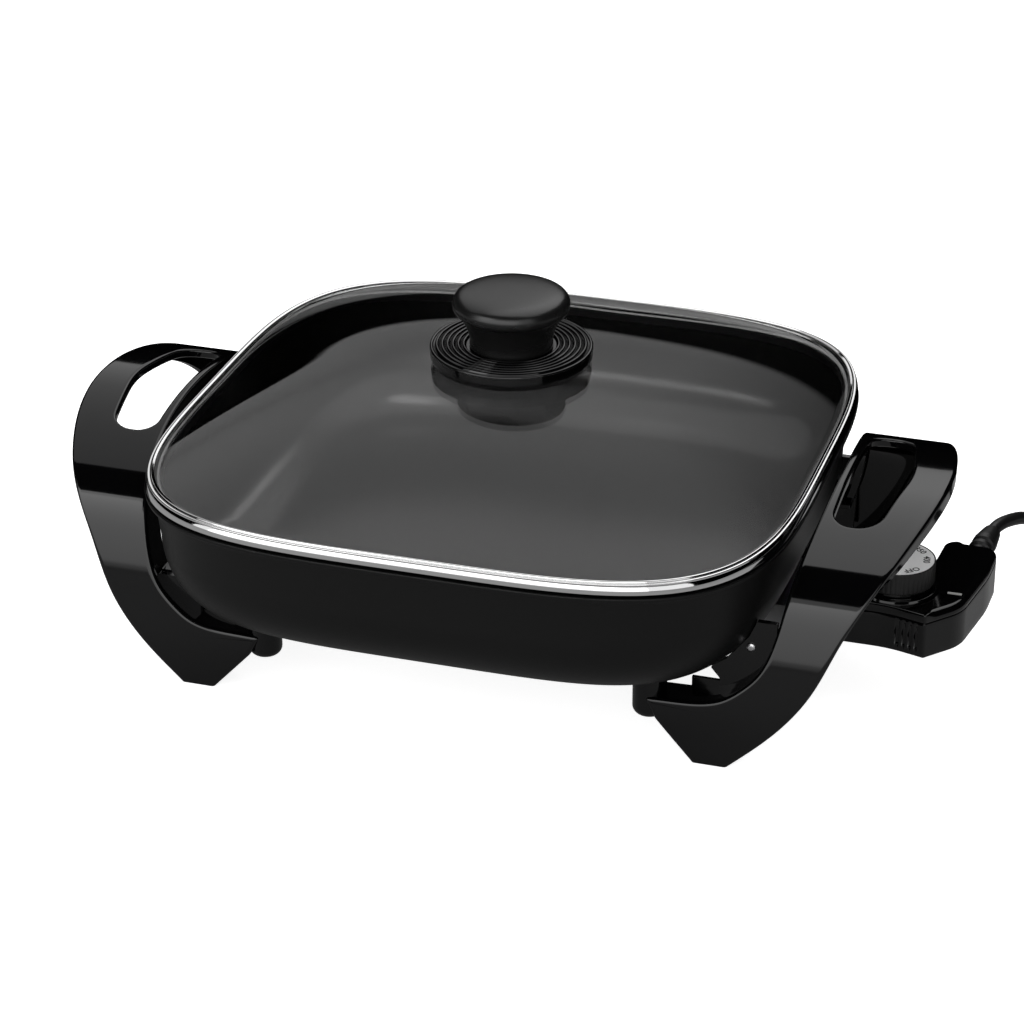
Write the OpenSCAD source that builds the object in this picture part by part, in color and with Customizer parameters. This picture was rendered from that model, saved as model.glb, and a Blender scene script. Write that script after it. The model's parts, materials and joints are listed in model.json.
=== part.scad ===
// Electric skillet: square pan with a cast-in heater, two arched handles that are also its legs, a lift-off
// glass lid and a plug-in temperature control. Millimetres, +Z up.
// The origin is on the table, at the centre of the footprint of everything but the free cord.

/* [Pan] */
// Width of the pan over its flange, along X
pan_w = 313; // [290:1:340]
// Depth of the pan over its flange, along Y
pan_l = 311.4; // [290:1:340]
// Squareness of the outline: 2 is round, higher is squarer
squareness = 3.9; // [3.2:0.1:4.6]
// Height of the pan's underside above the table
pan_under = 43; // [41:0.5:50]
// Height of the pan from underside to rim
pan_h = 65; // [60:1:75]
// Radius between the wall and the floor, on the outside
pan_fillet = 39; // [36:1:48]
// Thickness of the cast floor
pan_floor = 5; // [4.5:0.5:6]
// Thickness of the cast wall
pan_wall = 3; // [2.5:0.1:4]
// How far the flange stands out from the wall
flange = 6; // [5:0.5:8]
// Thickness of the flange
flange_t = 2; // [1.6:0.1:2.6]
// Height of the seating bead above the flange
bead_h = 1.6; // [1.2:0.1:2]

/* [Lid] */
// How far the steel band stays inside the flange, all round
band_inset = 0.5; // [0.3:0.1:1]
// Height of the steel band
band_h = 6.3; // [6:0.1:8]
// Thickness of the band's steel
band_t = 0.8; // [0.6:0.1:1]
// How far the band's skirt hangs into the pan
skirt_h = 5; // [4:0.5:7]
// Gap between the seating bead and the lid
lid_gap = 0.2; // [0.1:0.1:0.3]
// Thickness of the glass
glass_t = 3.9; // [3:0.1:4.4]
// Rise of the glass from its edge to its middle
dome_h = 31; // [26:1:36]

/* [Knob] */
// Diameter of the grip's cap
knob_d = 56; // [48:1:62]
// Diameter of the grip's neck
neck_d = 40; // [34:1:44]
// Diameter of the ridged base
knob_base_d = 78; // [72:1:84]
// Height of the ridged base
knob_base_h = 8.6; // [7:0.2:10]
// Height of the grip above its base
grip_h = 28; // [24:1:32]
// Number of ridges on the base
ridges = 6; // [4:1:7]
// Thickness of the silicone gasket under the base
gasket_t = 0.8; // [0.6:0.1:1.2]
// Diameter of the knob's screw
knob_screw_d = 5; // [4:0.5:6]

/* [Handles] */
// Height of each handle's arch
handle_h = 110.5; // [106:0.5:118]
// How far each handle reaches out past the flange
handle_reach = 59; // [56:0.5:62]
// Half the spread of the feet, along Y
foot_spread = 102; // [98:1:106]
// Half the width of the arch where it springs from the legs
arch_half = 94.4; // [91:0.2:97]
// Height at which the arch springs
spring_z = 60; // [56:1:64]
// Depth of each leg, along Y
leg_depth = 18; // [17:1:26]
// Depth of the arch at its crown
crown_depth = 8; // [6:0.5:10]
// Wall of the handle moulding
handle_wall = 3.2; // [2.6:0.2:3.6]
// Half the length of the hand hole, along Y
hole_half = 47.5; // [42:0.5:52]
// Width of the hand hole at its middle
hole_w = 28; // [24:1:30]
// Diameter of the post under each corner of the pan
post_d = 16; // [14:1:18]
// Diameter of the handle screws
screw_d = 4; // [3:0.5:5]
// Thickness of the screw tab beside the pan
tab_t = 2.6; // [2:0.2:4]

/* [Heater] */
// Diameter of the sheathed element
element_d = 7.2; // [6.4:0.2:8]
// Radius of the element's loop
loop_r = 80; // [70:1:88]
// Distance between the two terminal pins
pin_pitch = 28; // [27:0.5:29]
// Diameter of the terminal pins
pin_d = 4.8; // [4:0.2:5.2]
// Depth of the element's axis below the pan
heater_drop = 4; // [3.8:0.1:4.6]
// Diameter of the temperature probe
probe_d = 6.4; // [5.6:0.2:6.8]
// Running clearance on the radius of each plug-in pin and shaft
slip = 0.06; // [0.04:0.01:0.08]

/* [Control] */
// Height of the control's underside above the table
control_under = 28.5; // [27:0.5:31]
// Height of the control's housing
control_h = 23; // [22:0.5:26]
// Height of the housing's cover
cover_h = 3; // [2.6:0.2:4]
// Wall of the housing
housing_wall = 2.2; // [1.8:0.1:2.6]
// Diameter of the dial
dial_d = 36; // [32:1:38]
// Height of the dial
dial_h = 11.2; // [9:0.2:13]
// Height of the collar under the dial
collar_h = 3.6; // [3:0.2:5]
// Diameter of the dial's shaft
shaft_d = 6; // [5:0.5:7]

/* [Cord] */
// Diameter of the cord
cord_d = 6.5; // [6:0.1:7]
// Radius of the coil to the middle of its turns
coil_r = 36; // [33:1:38]

/* [Hidden] */

fine = 64;
seg = 72;                       // points round the pan's outline
hx = pan_w / 2;
hy = pan_l / 2;
rim_z = pan_under + pan_h;      // top of the seating bead
flange_z = rim_z - bead_h;      // top of the flange
heater_z = pan_under - heater_drop;
join = 0.5;                     // how far fused shapes run into each other

// Corners of the pan: posts underneath, lugs at the sides
post_x = hx - 61.5;
post_y = foot_spread - 11;
post_bottom = 17;
boss_h = 3;
lug_x = hx - 17;
lug_y = 80;
lug_w = 15;
lug_z = pan_under + 1.5;
lug_t = 4.5;
lug_end_r = 4;                  // the lug narrows here, clear of the handle's wall
tab_z = lug_z + lug_t;
screw_r = screw_d / 2;
head_r = screw_d * 0.85;
head_h = screw_d * 0.55;

// Lid
lx = hx - band_inset;
ly = hy - band_inset;
lid_z = rim_z + lid_gap;        // underside of the band's ledge
glass_z = lid_z + band_t;       // underside of the glass edge
band_lip = 4;                   // how far the band covers the glass
glass_inset = band_t + 0.4;
ledge = 7;                      // from the band's face to the skirt's inner face
dome_z = glass_z + glass_t + dome_h;
flat_r = 20;                    // flat seat in the middle of the glass
screw_hole_r = knob_screw_d / 2 + 0.6;
base_z = dome_z + gasket_t;
base_rim = 1.6;                 // height of the base's rim above its plate
grip_z = base_z + knob_base_h - base_rim;
washer_t = 1.2;

// Handles
gap_in = 6.5;                   // from the flange to the handle's top inner edge
foot_in = hx - 38.5;
foot_out = hx - 21.5;
hole_x = hx + 11.5;             // straight inner edge of the hand hole

// Control and its plug-in parts
control_x = hx + 11.5;          // front face of the housing
control_y = 20.5;               // half the width of the housing behind the dial
dial_x = hx + 34.6;
cover_z = control_under + control_h - cover_h;
control_top = control_under + control_h;
collar_z = control_top;
dial_z = collar_z + collar_h + 0.3;
control_reach = 74.5;           // from the flange to the housing's outer face
element_end = hx - 14;
seal_l = 5;
pin_tip = control_x + 15;
clip_l = 18;
tail_y = 54;                    // back face of the housing
relief_x = control_x + 52.8;
relief_z = control_top - 5.7;
relief_turn = 6;
relief_l = 25;
housing_seam = 0.1;

// The whole is shifted so that the footprint is centred on the origin
centre_x = (control_reach - handle_reach) / 2;

// Cord: route from the strain relief to the coil, then from the coil to the plug
lead = [
    [223.4, 78.9, 45.8], [223.7, 82, 45.8], [224.9, 87, 45.6], [226.6, 92.5, 44.9], [228.4, 98, 43.6],
    [230.2, 103.5, 42], [231.9, 109, 40.1], [233.5, 114.5, 37.8], [235, 120, 34.9], [236.4, 125.5, 31.4],
    [237.6, 131, 27.3], [238.6, 136.5, 22.9], [239.4, 142, 18.6], [240, 147.5, 14.7], [240.4, 153, 11.4],
    [240.6, 158.5, 8.7], [240.7, 164, 6.5], [240.75, 169.5, 4.9], [240.75, 175, 4], [240.75, 180, 3.75]
];
tail = [
    [316, 180, 9.4], [316.1, 174, 9.3], [316.6, 168, 8.7], [317.4, 162, 7.9], [318.2, 156, 7.2],
    [318.8, 150, 6.8], [319, 144, 6.7], [319, 138, 6.7]
];
coil_c = [280, 180];
tie_t = 0.5;
plug_w = 24;
plug_t = 13.4;
plug_l = 30;
plug_end = tail[len(tail) - 1];

// ---- shared shapes ----

// Points of a superellipse with half axes a and b
function squircle(a, b, e = squareness) = [
    for (k = [0:seg - 1])
        let (t = 360 * k / seg, r = pow(pow(abs(cos(t)) / a, e) + pow(abs(sin(t)) / b, e), -1 / e))
            [r * cos(t), r * sin(t)]
];

// Two triangles for each cell between ring i and ring j
function band_faces(i, j) = [
    for (k = [0:seg - 1], half = [0, 1])
        let (k2 = (k + 1) % seg)
            half == 0 ? [i * seg + k, j * seg + k, j * seg + k2] : [i * seg + k, j * seg + k2, i * seg + k2]
];

// Solid swept round the pan's outline: profile holds [inset, height]; closed profiles make a ring
module swept(a, b, profile, closed = false) {
    count = len(profile);
    points = [for (p = profile) for (q = squircle(a - p[0], b - p[0])) [q[0], q[1], p[1]]];
    sides = [for (i = [0:count - 2]) each band_faces(i, i + 1)];
    ends = closed
        ? band_faces(count - 1, 0)
        : [[for (k = [0:seg - 1]) k], [for (k = [seg - 1:-1:0]) (count - 1) * seg + k]];
    polyhedron(points, concat(sides, ends), convexity = 8);
}

// Smooth curve through a few points (Catmull-Rom), steps points for each stretch
function smooth(p, steps = 3) = [
    for (i = [0:len(p) - 2], k = [0:steps - 1])
        let (
            t = k / steps,
            a = p[max(i - 1, 0)], b = p[i], c = p[i + 1], d = p[min(i + 2, len(p) - 1)]
        )
            0.5 * (2 * b + (c - a) * t + (2 * a - 5 * b + 4 * c - d) * t * t + (3 * b - a - 3 * c + d) * t * t * t)
];

// Outline with each corner rounded; corners holds [x, y, radius]
function rounded(corners, steps = 6) = [
    for (i = [0:len(corners) - 1])
        let (
            n = len(corners),
            c = corners[i],
            here = [c[0], c[1]],
            before = [corners[(i + n - 1) % n][0], corners[(i + n - 1) % n][1]] - here,
            after = [corners[(i + 1) % n][0], corners[(i + 1) % n][1]] - here,
            u = before / norm(before),
            v = after / norm(after),
            half = acos(max(-1, min(1, u * v))) / 2,
            middle = here + (u + v) / norm(u + v) * c[2] / sin(half),
            from = here + u * c[2] / tan(half) - middle,
            to = here + v * c[2] / tan(half) - middle,
            a0 = atan2(from[1], from[0]),
            turn = atan2(from[0] * to[1] - from[1] * to[0], from * to)
        )
        for (k = [0:(c[2] > 0 ? steps : 0)])
            c[2] > 0 ? middle + c[2] * [cos(a0 + turn * k / steps), sin(a0 + turn * k / steps)] : here
];

// Outline moved inwards by d; the outline runs anticlockwise
function shrunk(p, d) = [
    for (i = [0:len(p) - 1])
        let (
            n = len(p),
            u = p[i] - p[(i + n - 1) % n],
            v = p[(i + 1) % n] - p[i],
            nu = [-u[1], u[0]] / norm(u),
            nv = [-v[1], v[0]] / norm(v),
            m = nu + nv
        )
            p[i] + m * d * 2 / (m * m)
];

// Section swept along points, with flat ends; the section's points are [to the right, up], clockwise
module swept_along(p, section) {
    n = len(p);
    sides = len(section);
    function along(i) = let (d = p[min(i + 1, n - 1)] - p[max(i - 1, 0)]) d / norm(d);
    function right_of(d) = let (s = cross(d, [0, 0, 1])) s / norm(s);
    points = [
        for (i = [0:n - 1])
            let (d = along(i), s = right_of(d), u = cross(s, d))
            for (q = section) p[i] + q[0] * s + q[1] * u
    ];
    walls = [
        for (i = [0:n - 2], k = [0:sides - 1], half = [0, 1])
            let (k2 = (k + 1) % sides, a = i * sides, b = a + sides)
                half == 0 ? [a + k, b + k, b + k2] : [a + k, b + k2, a + k2]
    ];
    caps = [[for (k = [0:sides - 1]) k], [for (k = [sides - 1:-1:0]) (n - 1) * sides + k]];
    polyhedron(points, concat(walls, caps), convexity = 6);
}

// Round section for swept_along
function round_section(r, sides = 10) = [for (k = [0:sides - 1]) r * [cos(360 * k / sides), -sin(360 * k / sides)]];

module at_corners(x, y) {
    for (sx = [-1, 1], sy = [-1, 1]) translate([sx * x, sy * y, 0]) children();
}

// Cylinder along X
module rod_x(x0, x1, r) {
    translate([x0, 0, 0]) rotate([0, 90, 0]) cylinder(h = x1 - x0, r = r, $fn = fine);
}

// ---- pan and heater ----

inner_wall = flange + pan_wall;
inner_fillet = pan_fillet - pan_floor;
arc_steps = 9;
pan_profile = concat(
    [for (k = [0:arc_steps])
        let (a = 90 * k / arc_steps)
            [flange + pan_fillet * (1 - sin(a)), pan_under + pan_fillet * (1 - cos(a))]],
    [
        [flange - 2.4, flange_z - flange_t - 1],
        [0.5, flange_z - flange_t],
        [0, flange_z - flange_t + 0.5],
        [0, flange_z - 0.5],
        [0.7, flange_z],
        [3.2, flange_z],
        [4, rim_z],
        [5.4, rim_z],
        [5.7, rim_z - 0.6]
    ],
    [for (k = [arc_steps:-1:0])
        let (a = 90 * k / arc_steps)
            [inner_wall + inner_fillet * (1 - sin(a)), pan_under + pan_floor + inner_fillet * (1 - cos(a))]]
);

module pan() {
    color([0.12, 0.12, 0.13])
    difference() {
        union() {
            swept(hx, hy, pan_profile);
            at_corners(post_x, post_y)
                translate([0, 0, pan_under - boss_h]) cylinder(h = boss_h + 2, r = post_d / 2 - 1, $fn = fine);
            at_corners(lug_x, lug_y)
                translate([0, 0, lug_z]) cylinder(h = lug_t, r = lug_end_r, $fn = fine);
            for (sx = [-1, 1], sy = [-1, 1])
                translate([sx * (lug_x - 12), sy * lug_y, lug_z + lug_t / 2])
                    cube([24, lug_w, lug_t], center = true);
        }
        at_corners(post_x, post_y)
            translate([0, 0, pan_under - boss_h - 1]) cylinder(h = 7, r = screw_r + slip, $fn = fine);
        at_corners(lug_x, lug_y)
            translate([0, 0, lug_z - 1]) cylinder(h = lug_t + 2, r = screw_r + slip, $fn = fine);
    }
}

// The element's route in plan: a loop, two bends and two straight legs to the right
bend_r = 20;
leg_y = pin_pitch / 2;
bend_y = leg_y + bend_r;
bend_x = sqrt(pow(loop_r + bend_r, 2) - pow(bend_y, 2));
meet_a = atan2(bend_y, bend_x);
loop_steps = 36;
bend_steps = 6;
upper_half = concat(
    [for (k = [loop_steps / 2:-1:0])
        let (a = meet_a + (180 - meet_a) * k / (loop_steps / 2)) [loop_r * cos(a), loop_r * sin(a)]],
    [for (k = [1:bend_steps])
        let (a = 180 + meet_a + (90 - meet_a) * k / bend_steps) [bend_x + bend_r * cos(a), bend_y + bend_r * sin(a)]]
);
function element_route(x_end) = [
    for (q = concat(
        [[x_end, -leg_y]],
        [for (k = [len(upper_half) - 1:-1:1]) [upper_half[k][0], -upper_half[k][1]]],
        upper_half,
        [[x_end, leg_y]]
    )) [q[0], q[1], heater_z]
];

module heating_element() {
    color([0.45, 0.42, 0.4]) swept_along(element_route(element_end), round_section(element_d / 2, element_sides));
}

element_sides = 12;
well_x = hx - 50;               // mouth of the probe well
well_l = 46;
well_w = 20;
casting_w = 18;
guard_screw_x = well_x - 6;
guard_screw_y = leg_y + element_d / 2 + 3.2;
guard_screw_r = 1.5;

// Bar of metal cast over the upper half of the element, and the well for the probe
module heater_casting() {
    channel = element_d / 2 + 0.05;
    section = concat(
        [[-casting_w / 2, 0], [-casting_w / 2, heater_drop], [casting_w / 2, heater_drop], [casting_w / 2, 0]],
        [for (k = [0:element_sides / 2])
            let (a = 360 * k / element_sides) channel * [cos(a), sin(a)]]
    );
    color([0.62, 0.62, 0.64])
    difference() {
        union() {
            swept_along(element_route(well_x), section);
            translate([well_x - well_l, -well_w / 2, heater_z - 6])
                cube([well_l, well_w, 6 + heater_drop]);
        }
        translate([0, 0, heater_z]) rod_x(well_x - well_l + 4, well_x + 1, probe_d / 2 + slip);
        for (s = [-1, 1]) translate([guard_screw_x, s * guard_screw_y, heater_z - 1])
            cylinder(h = heater_drop - 0.5, r = guard_screw_r + slip, $fn = fine);
    }
}

module element_seals() {
    color([0.9, 0.88, 0.82])
    for (s = [-1, 1]) translate([0, s * leg_y, heater_z]) difference() {
        rod_x(element_end, element_end + seal_l, element_d / 2 + 0.6);
        rod_x(element_end - 1, element_end + seal_l + 1, pin_d / 2 + slip);
    }
}

module terminal_pins() {
    color([0.75, 0.75, 0.76])
    for (s = [-1, 1]) translate([0, s * leg_y, heater_z]) {
        rod_x(element_end, pin_tip - 1.5, pin_d / 2);
        translate([pin_tip - 1.5, 0, 0]) rotate([0, 90, 0])
            cylinder(h = 1.5, r1 = pin_d / 2, r2 = pin_d / 2 - 1.2, $fn = fine);
    }
}

// Steel shroud round the pins, fixed to the heater casting
guard_t = 1.2;
guard_w = pin_pitch + 22;
guard_back = 40;                // from the flange in to the shroud's closed end
guard_x0 = hx - guard_back;
guard_x1 = control_x - 2;
guard_drop = 9;                 // from the element's axis down to the shroud's floor
guard_z0 = heater_z - guard_drop;
guard_h = 16;
roof_back = 11;                 // where the roof starts, clear of the pan's rounded edge

module terminal_guard() {
    color([0.7, 0.7, 0.72])
    difference() {
        union() {
            difference() {
                translate([guard_x0, -guard_w / 2, guard_z0]) cube([guard_x1 - guard_x0, guard_w, guard_h]);
                translate([guard_x0 + guard_t, -guard_w / 2 + guard_t, guard_z0 + guard_t])
                    cube([guard_x1 - guard_x0, guard_w - 2 * guard_t, guard_h - 2 * guard_t]);
                translate([guard_x0 + roof_back, -guard_w, guard_z0 + guard_h - 4]) mirror([1, 0, 0])
                    cube([24, 2 * guard_w, 10]);
            }
            for (s = [0, 1]) mirror([0, s, 0])
                translate([well_x - 11, guard_screw_y - 2.9, heater_z - guard_t])
                    cube([guard_x0 - well_x + 11 + join, 6.4, guard_t]);
        }
        for (s = [-1, 1]) translate([0, s * leg_y, heater_z])
            rod_x(guard_x0 - 1, guard_x0 + guard_t + 1, element_d / 2 + 0.3);
        translate([0, 0, heater_z]) rod_x(guard_x0 - 1, guard_x0 + guard_t + 1, probe_d / 2 + 1);
        for (s = [-1, 1]) translate([guard_screw_x, s * guard_screw_y, heater_z - 5])
            cylinder(h = 6, r = guard_screw_r + slip, $fn = fine);
    }
}

module guard_screws() {
    color([0.8, 0.8, 0.8])
    for (s = [-1, 1]) translate([guard_screw_x, s * guard_screw_y, heater_z - guard_t]) {
        translate([0, 0, -1.6]) cylinder(h = 1.6, r = guard_screw_r + 1.1, $fn = fine);
        cylinder(h = guard_t + 2, r = guard_screw_r, $fn = fine);
    }
}

// ---- handles ----

// Front outline of a handle, in X and Z, anticlockwise from the foot's inner corner
outer_edge = smooth([
    [foot_out, 0],
    [hx - 0.5, 20],
    [hx + 15, 41],
    [hx + 26.5, 66],
    [hx + 39.5, 89],
    [hx + handle_reach - 8.5, handle_h - 7.5],
    [hx + handle_reach, handle_h + 0.5]
]);
inner_edge = smooth([
    [hx + gap_in, handle_h + 0.5],
    [hx + 4, handle_h - 9.5],
    [hx - 0.5, 80],
    [hx - 4.7, 60],
    [hx - 9.5, 48],
    [hx - 17.5, 39.5],
    [hx - 26.5, 32.3],
    [hx - 36.5, 29.2],
    [hx - 49.5, 28.9],
    [hx - 62, 30.2]
], 2);
front_outline = concat(
    [[foot_in, 0]],
    outer_edge,
    [[hx + handle_reach, handle_h + 1], [hx + gap_in, handle_h + 1]],
    inner_edge,
    [[hx - 62, 30.2], [hx - 56.5, 19.3]]
);

// Side outline of the arch, in Y and Z: legs that close in slightly, then a flattened half ellipse
arch_power = 2.12;
arch_steps = 24;
function arch(half, top, spread) = concat(
    [[spread, 0], [spread - 2.2, spring_z / 2]],
    [for (k = [0:arch_steps])
        let (a = 180 * k / arch_steps)
            [half * sign(cos(a)) * pow(abs(cos(a)), 2 / arch_power),
             spring_z + (top - spring_z) * pow(sin(a), 2 / arch_power)]],
    [[2.2 - spread, spring_z / 2], [-spread, 0]]
);

module side_on(x0, x1) {
    translate([x0, 0, 0]) rotate([90, 0, 90]) linear_extrude(x1 - x0) children();
}

module front_on(half) {
    translate([0, half, 0]) rotate([90, 0, 0]) linear_extrude(2 * half) children();
}

// Hand hole seen from above: straight inside, bowed outside, round ends
hole_taper = 7;                 // how much narrower its ends are than its middle
hole_outline = rounded([
    [hole_x, -hole_half, 9],
    [hole_x + hole_w - hole_taper, -hole_half, 12],
    [hole_x + hole_w, 0, 60],
    [hole_x + hole_w - hole_taper, hole_half, 12],
    [hole_x, hole_half, 9]
]);

// Bracket inside each foot, seen from the front: it rises from the shelf to the tab
bracket_outline = [[128, 27], [152, 27], [152, 50.5], [131, 50.5], [123.2, 45.5], [128, 40]];
bracket_y = 87.6;               // clear of the pan's lug
bracket_t = 3;
lip_from = 113;                 // low wall along the back of the shelf
lip_l = 19.6;
lip_top = 35;

module handle() {
    difference() {
        union() {
            difference() {
                intersection() {
                    front_on(foot_spread + 1) polygon(front_outline);
                    side_on(foot_in - 30, hx + handle_reach + 1) difference() {
                        polygon(arch(arch_half, handle_h, foot_spread));
                        polygon(arch(arch_half - leg_depth, handle_h - crown_depth, foot_spread - leg_depth));
                    }
                }
                intersection() {
                    front_on(foot_spread + 1) polygon(shrunk(front_outline, handle_wall));
                    side_on(foot_in - 30, hx + handle_reach)
                        polygon(shrunk(arch(arch_half, handle_h, foot_spread), handle_wall));
                }
            }
            // wall round the hand hole
            intersection() {
                translate([0, 0, spring_z]) linear_extrude(handle_h) polygon(shrunk(hole_outline, -handle_wall));
                front_on(foot_spread) polygon(shrunk(front_outline, 0.4));
                side_on(foot_in - 30, hx + handle_reach) difference() {
                    polygon(shrunk(arch(arch_half, handle_h, foot_spread), 0.4));
                    polygon(arch(arch_half - leg_depth, handle_h - crown_depth, foot_spread - leg_depth));
                }
            }
            for (s = [-1, 1]) mirror([0, s < 0 ? 1 : 0, 0]) {
                // shelf inside the leg, post under the pan and tab beside it
                translate([post_x, post_y - 9, 26]) cube([foot_out - post_x - 4, 15, 3]);
                translate([lip_from, post_y - 9, 27]) cube([lip_l, 1.6, lip_top - 27]);
                translate([0, bracket_y + bracket_t, 0]) rotate([90, 0, 0])
                    linear_extrude(bracket_t) polygon(bracket_outline);
                translate([post_x, post_y, post_bottom])
                    cylinder(h = pan_under - boss_h - post_bottom, r = post_d / 2, $fn = fine);
                translate([lug_x, lug_y, tab_z]) cylinder(h = tab_t, r = lug_w / 2 - 0.5, $fn = fine);
                translate([lug_x, lug_y - 4, tab_z]) cube([hx - 4 - lug_x, 11, tab_t]);
            }
        }
        translate([0, 0, spring_z]) linear_extrude(handle_h) polygon(hole_outline);
        for (s = [-1, 1]) {
            translate([post_x, s * post_y, post_bottom - 1])
                cylinder(h = post_seat + 1, r = head_r + 0.6, $fn = fine);
            translate([post_x, s * post_y, post_bottom]) cylinder(h = pan_under, r = screw_r + slip, $fn = fine);
            translate([lug_x, s * lug_y, tab_z - 1]) cylinder(h = tab_t + 2, r = screw_r + slip, $fn = fine);
        }
    }
}

module handle_right() { color([0.05, 0.05, 0.055]) handle(); }
module handle_left() { color([0.05, 0.05, 0.055]) mirror([1, 0, 0]) handle(); }

// Pan-head screw with its seat at z = 0 and its shank going up
module screw_up(length) {
    translate([0, 0, -head_h]) cylinder(h = head_h, r = head_r, $fn = fine);
    cylinder(h = length, r = screw_r, $fn = fine);
}

post_seat = 7;                  // depth of the screw's seat inside the post
post_grip = 5;                  // shank that stays below the pan's underside

module post_screws() {
    color([0.8, 0.8, 0.8])
    at_corners(post_x, post_y) translate([0, 0, post_bottom + post_seat])
        screw_up(pan_under - post_bottom - post_grip);
}

module tab_screws() {
    color([0.85, 0.85, 0.85])
    at_corners(lug_x, lug_y) translate([0, 0, tab_z + tab_t]) rotate([180, 0, 0]) screw_up(tab_t + lug_t + 1);
}

// ---- lid ----

band_profile = [
    [1.4, lid_z - 0.6],
    [0.5, lid_z - 0.6],
    [0, lid_z],
    [0, lid_z + band_h - 1.7],
    [0.9, lid_z + band_h - 0.7],
    [band_lip, lid_z + band_h - 0.6],
    [band_lip, glass_z + glass_t + 0.05],
    [band_t + 0.15, glass_z + glass_t + 0.05],
    [band_t + 0.15, glass_z - 0.05],
    [ledge, glass_z - 0.05],
    [ledge, lid_z - skirt_h],
    [ledge - band_t, lid_z - skirt_h],
    [ledge - band_t, lid_z],
    [1.4, lid_z]
];

module lid_band() {
    color([0.86, 0.86, 0.87]) swept(lx, ly, band_profile, closed = true);
}

// Height the dome has lost at a share t of the way from its flat middle to the band's lip
function dome_drop(t) = dome_h * pow(t, 2.2);
dome_rings = 12;
dome_inset = band_lip + 0.4;    // the glass is flat from here out

// Rings of the glass go from round in the middle to the pan's outline at the lip
function glass_ring(t, z) =
    let (
        a = flat_r + (lx - dome_inset - flat_r) * t,
        b = flat_r + (ly - dome_inset - flat_r) * t,
        e = 2 + (squareness - 2) * t
    )
        [for (q = squircle(a, b, e)) [q[0], q[1], z]];

// One face of the glass, from the screw's hole out to the edge
function glass_face(z) = concat(
    [[for (q = squircle(screw_hole_r, screw_hole_r, 2)) [q[0], q[1], z]]],
    [for (k = [0:dome_rings]) glass_ring(k / dome_rings, z - dome_drop(k / dome_rings))],
    [[for (q = squircle(lx - glass_inset, ly - glass_inset)) [q[0], q[1], z - dome_h]]]
);

module lid_glass() {
    top = glass_face(dome_z);
    under = glass_face(dome_z - glass_t);
    rings = concat(top, [for (k = [len(under) - 1:-1:0]) under[k]]);
    count = len(rings);
    color([0.6, 0.65, 0.68, 0.35])
    polyhedron(
        [for (r = rings) each r],
        [for (i = [0:count - 1]) each [for (f = band_faces(i, (i + 1) % count)) [f[2], f[1], f[0]]]],
        convexity = 6
    );
}

// ---- knob ----

module knob_gasket() {
    color([0.5, 0.5, 0.5])
    translate([0, 0, dome_z]) difference() {
        cylinder(h = gasket_t, r = flat_r - 2, $fn = fine);
        translate([0, 0, -1]) cylinder(h = gasket_t + 2, r = screw_hole_r, $fn = fine);
    }
}

base_r = knob_base_d / 2;
neck_r = neck_d / 2;
ridge_step = (base_r - 2 - neck_r - 1.6) / ridges;

module knob_base() {
    top = knob_base_h - base_rim;
    ridge_line = [for (k = [ridges - 1:-1:0])
        let (r = neck_r + 1.4 + ridge_step * (k + 0.5))
            each [[r + ridge_step * 0.42, top], [r + ridge_step * 0.2, top + 1],
                  [r - ridge_step * 0.2, top + 1], [r - ridge_step * 0.42, top]]];
    color([0.03, 0.03, 0.03])
    translate([0, 0, base_z]) rotate_extrude($fn = 96)
        polygon(concat(
            [[screw_hole_r, 0], [flat_r, 0], [flat_r, top - 2], [base_r - 4, top - 2], [base_r - 4, -0.4],
             [base_r - 2.2, -0.4], [base_r - 0.2, 2.2], [base_r, 5], [base_r - 0.1, knob_base_h - 0.9],
             [base_r - 0.8, knob_base_h], [base_r - 1.6, knob_base_h - 0.3], [base_r - 2, top]],
            ridge_line,
            [[neck_r, top], [screw_hole_r, top]]
        ));
}

module knob_grip() {
    cap_r = knob_d / 2;
    cap_edge = grip_h - 10;
    waist = smooth([[neck_r, 0.8], [neck_r, 5], [neck_r + 1.4, 10], [cap_r - 3.2, cap_edge - 2], [cap_r - 0.6, cap_edge + 1]]);
    crown = [[cap_r, 3], [cap_r, 4.4], [cap_r - 0.5, 6], [cap_r - 1.7, 7.5], [cap_r - 4, 8.7], [cap_r - 9, 9.5], [cap_r - 18, 10]];
    color([0.09, 0.09, 0.095])
    translate([0, 0, grip_z]) rotate_extrude($fn = 96) difference() {
        polygon(concat([[0, 0], [neck_r - 0.8, 0]], waist, [for (q = crown) q + [0, cap_edge]], [[0, cap_edge + 10]]));
        translate([-1, -1]) square([1 + knob_screw_d / 2 + slip, 16]);
    }
}

module knob_washer() {
    color([0.75, 0.75, 0.75])
    translate([0, 0, dome_z - glass_t - washer_t]) difference() {
        cylinder(h = washer_t, r = 8, $fn = fine);
        translate([0, 0, -1]) cylinder(h = washer_t + 2, r = knob_screw_d / 2 + 0.2, $fn = fine);
    }
}

module knob_screw() {
    seat = dome_z - glass_t - washer_t;
    color([0.82, 0.82, 0.82])
    union() {
        translate([0, 0, seat - 2.6]) cylinder(h = 2.6, r = knob_screw_d * 0.95, $fn = fine);
        translate([0, 0, seat]) cylinder(h = grip_z + 14 - seat, r = knob_screw_d / 2, $fn = fine);
    }
}

// ---- control ----

// Corners of the housing's plan, anticlockwise from the front corner beside the handle: [x, y, radius]
housing_corners = [
    [control_x, -control_y, 2],
    [control_x + 24, -control_y, 60],
    [control_x + 42, -control_y - 5, 1.4],
    [control_x + 56.5, -9, 22],
    [control_x + control_reach - 12, 28, 90],
    [control_x + control_reach - 11.5, tail_y, 7],
    [control_x + 37.5, tail_y, 7],
    [control_x + 36, 28, 12],
    [control_x + 24, control_y, 10],
    [control_x, control_y, 2]
];

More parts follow.
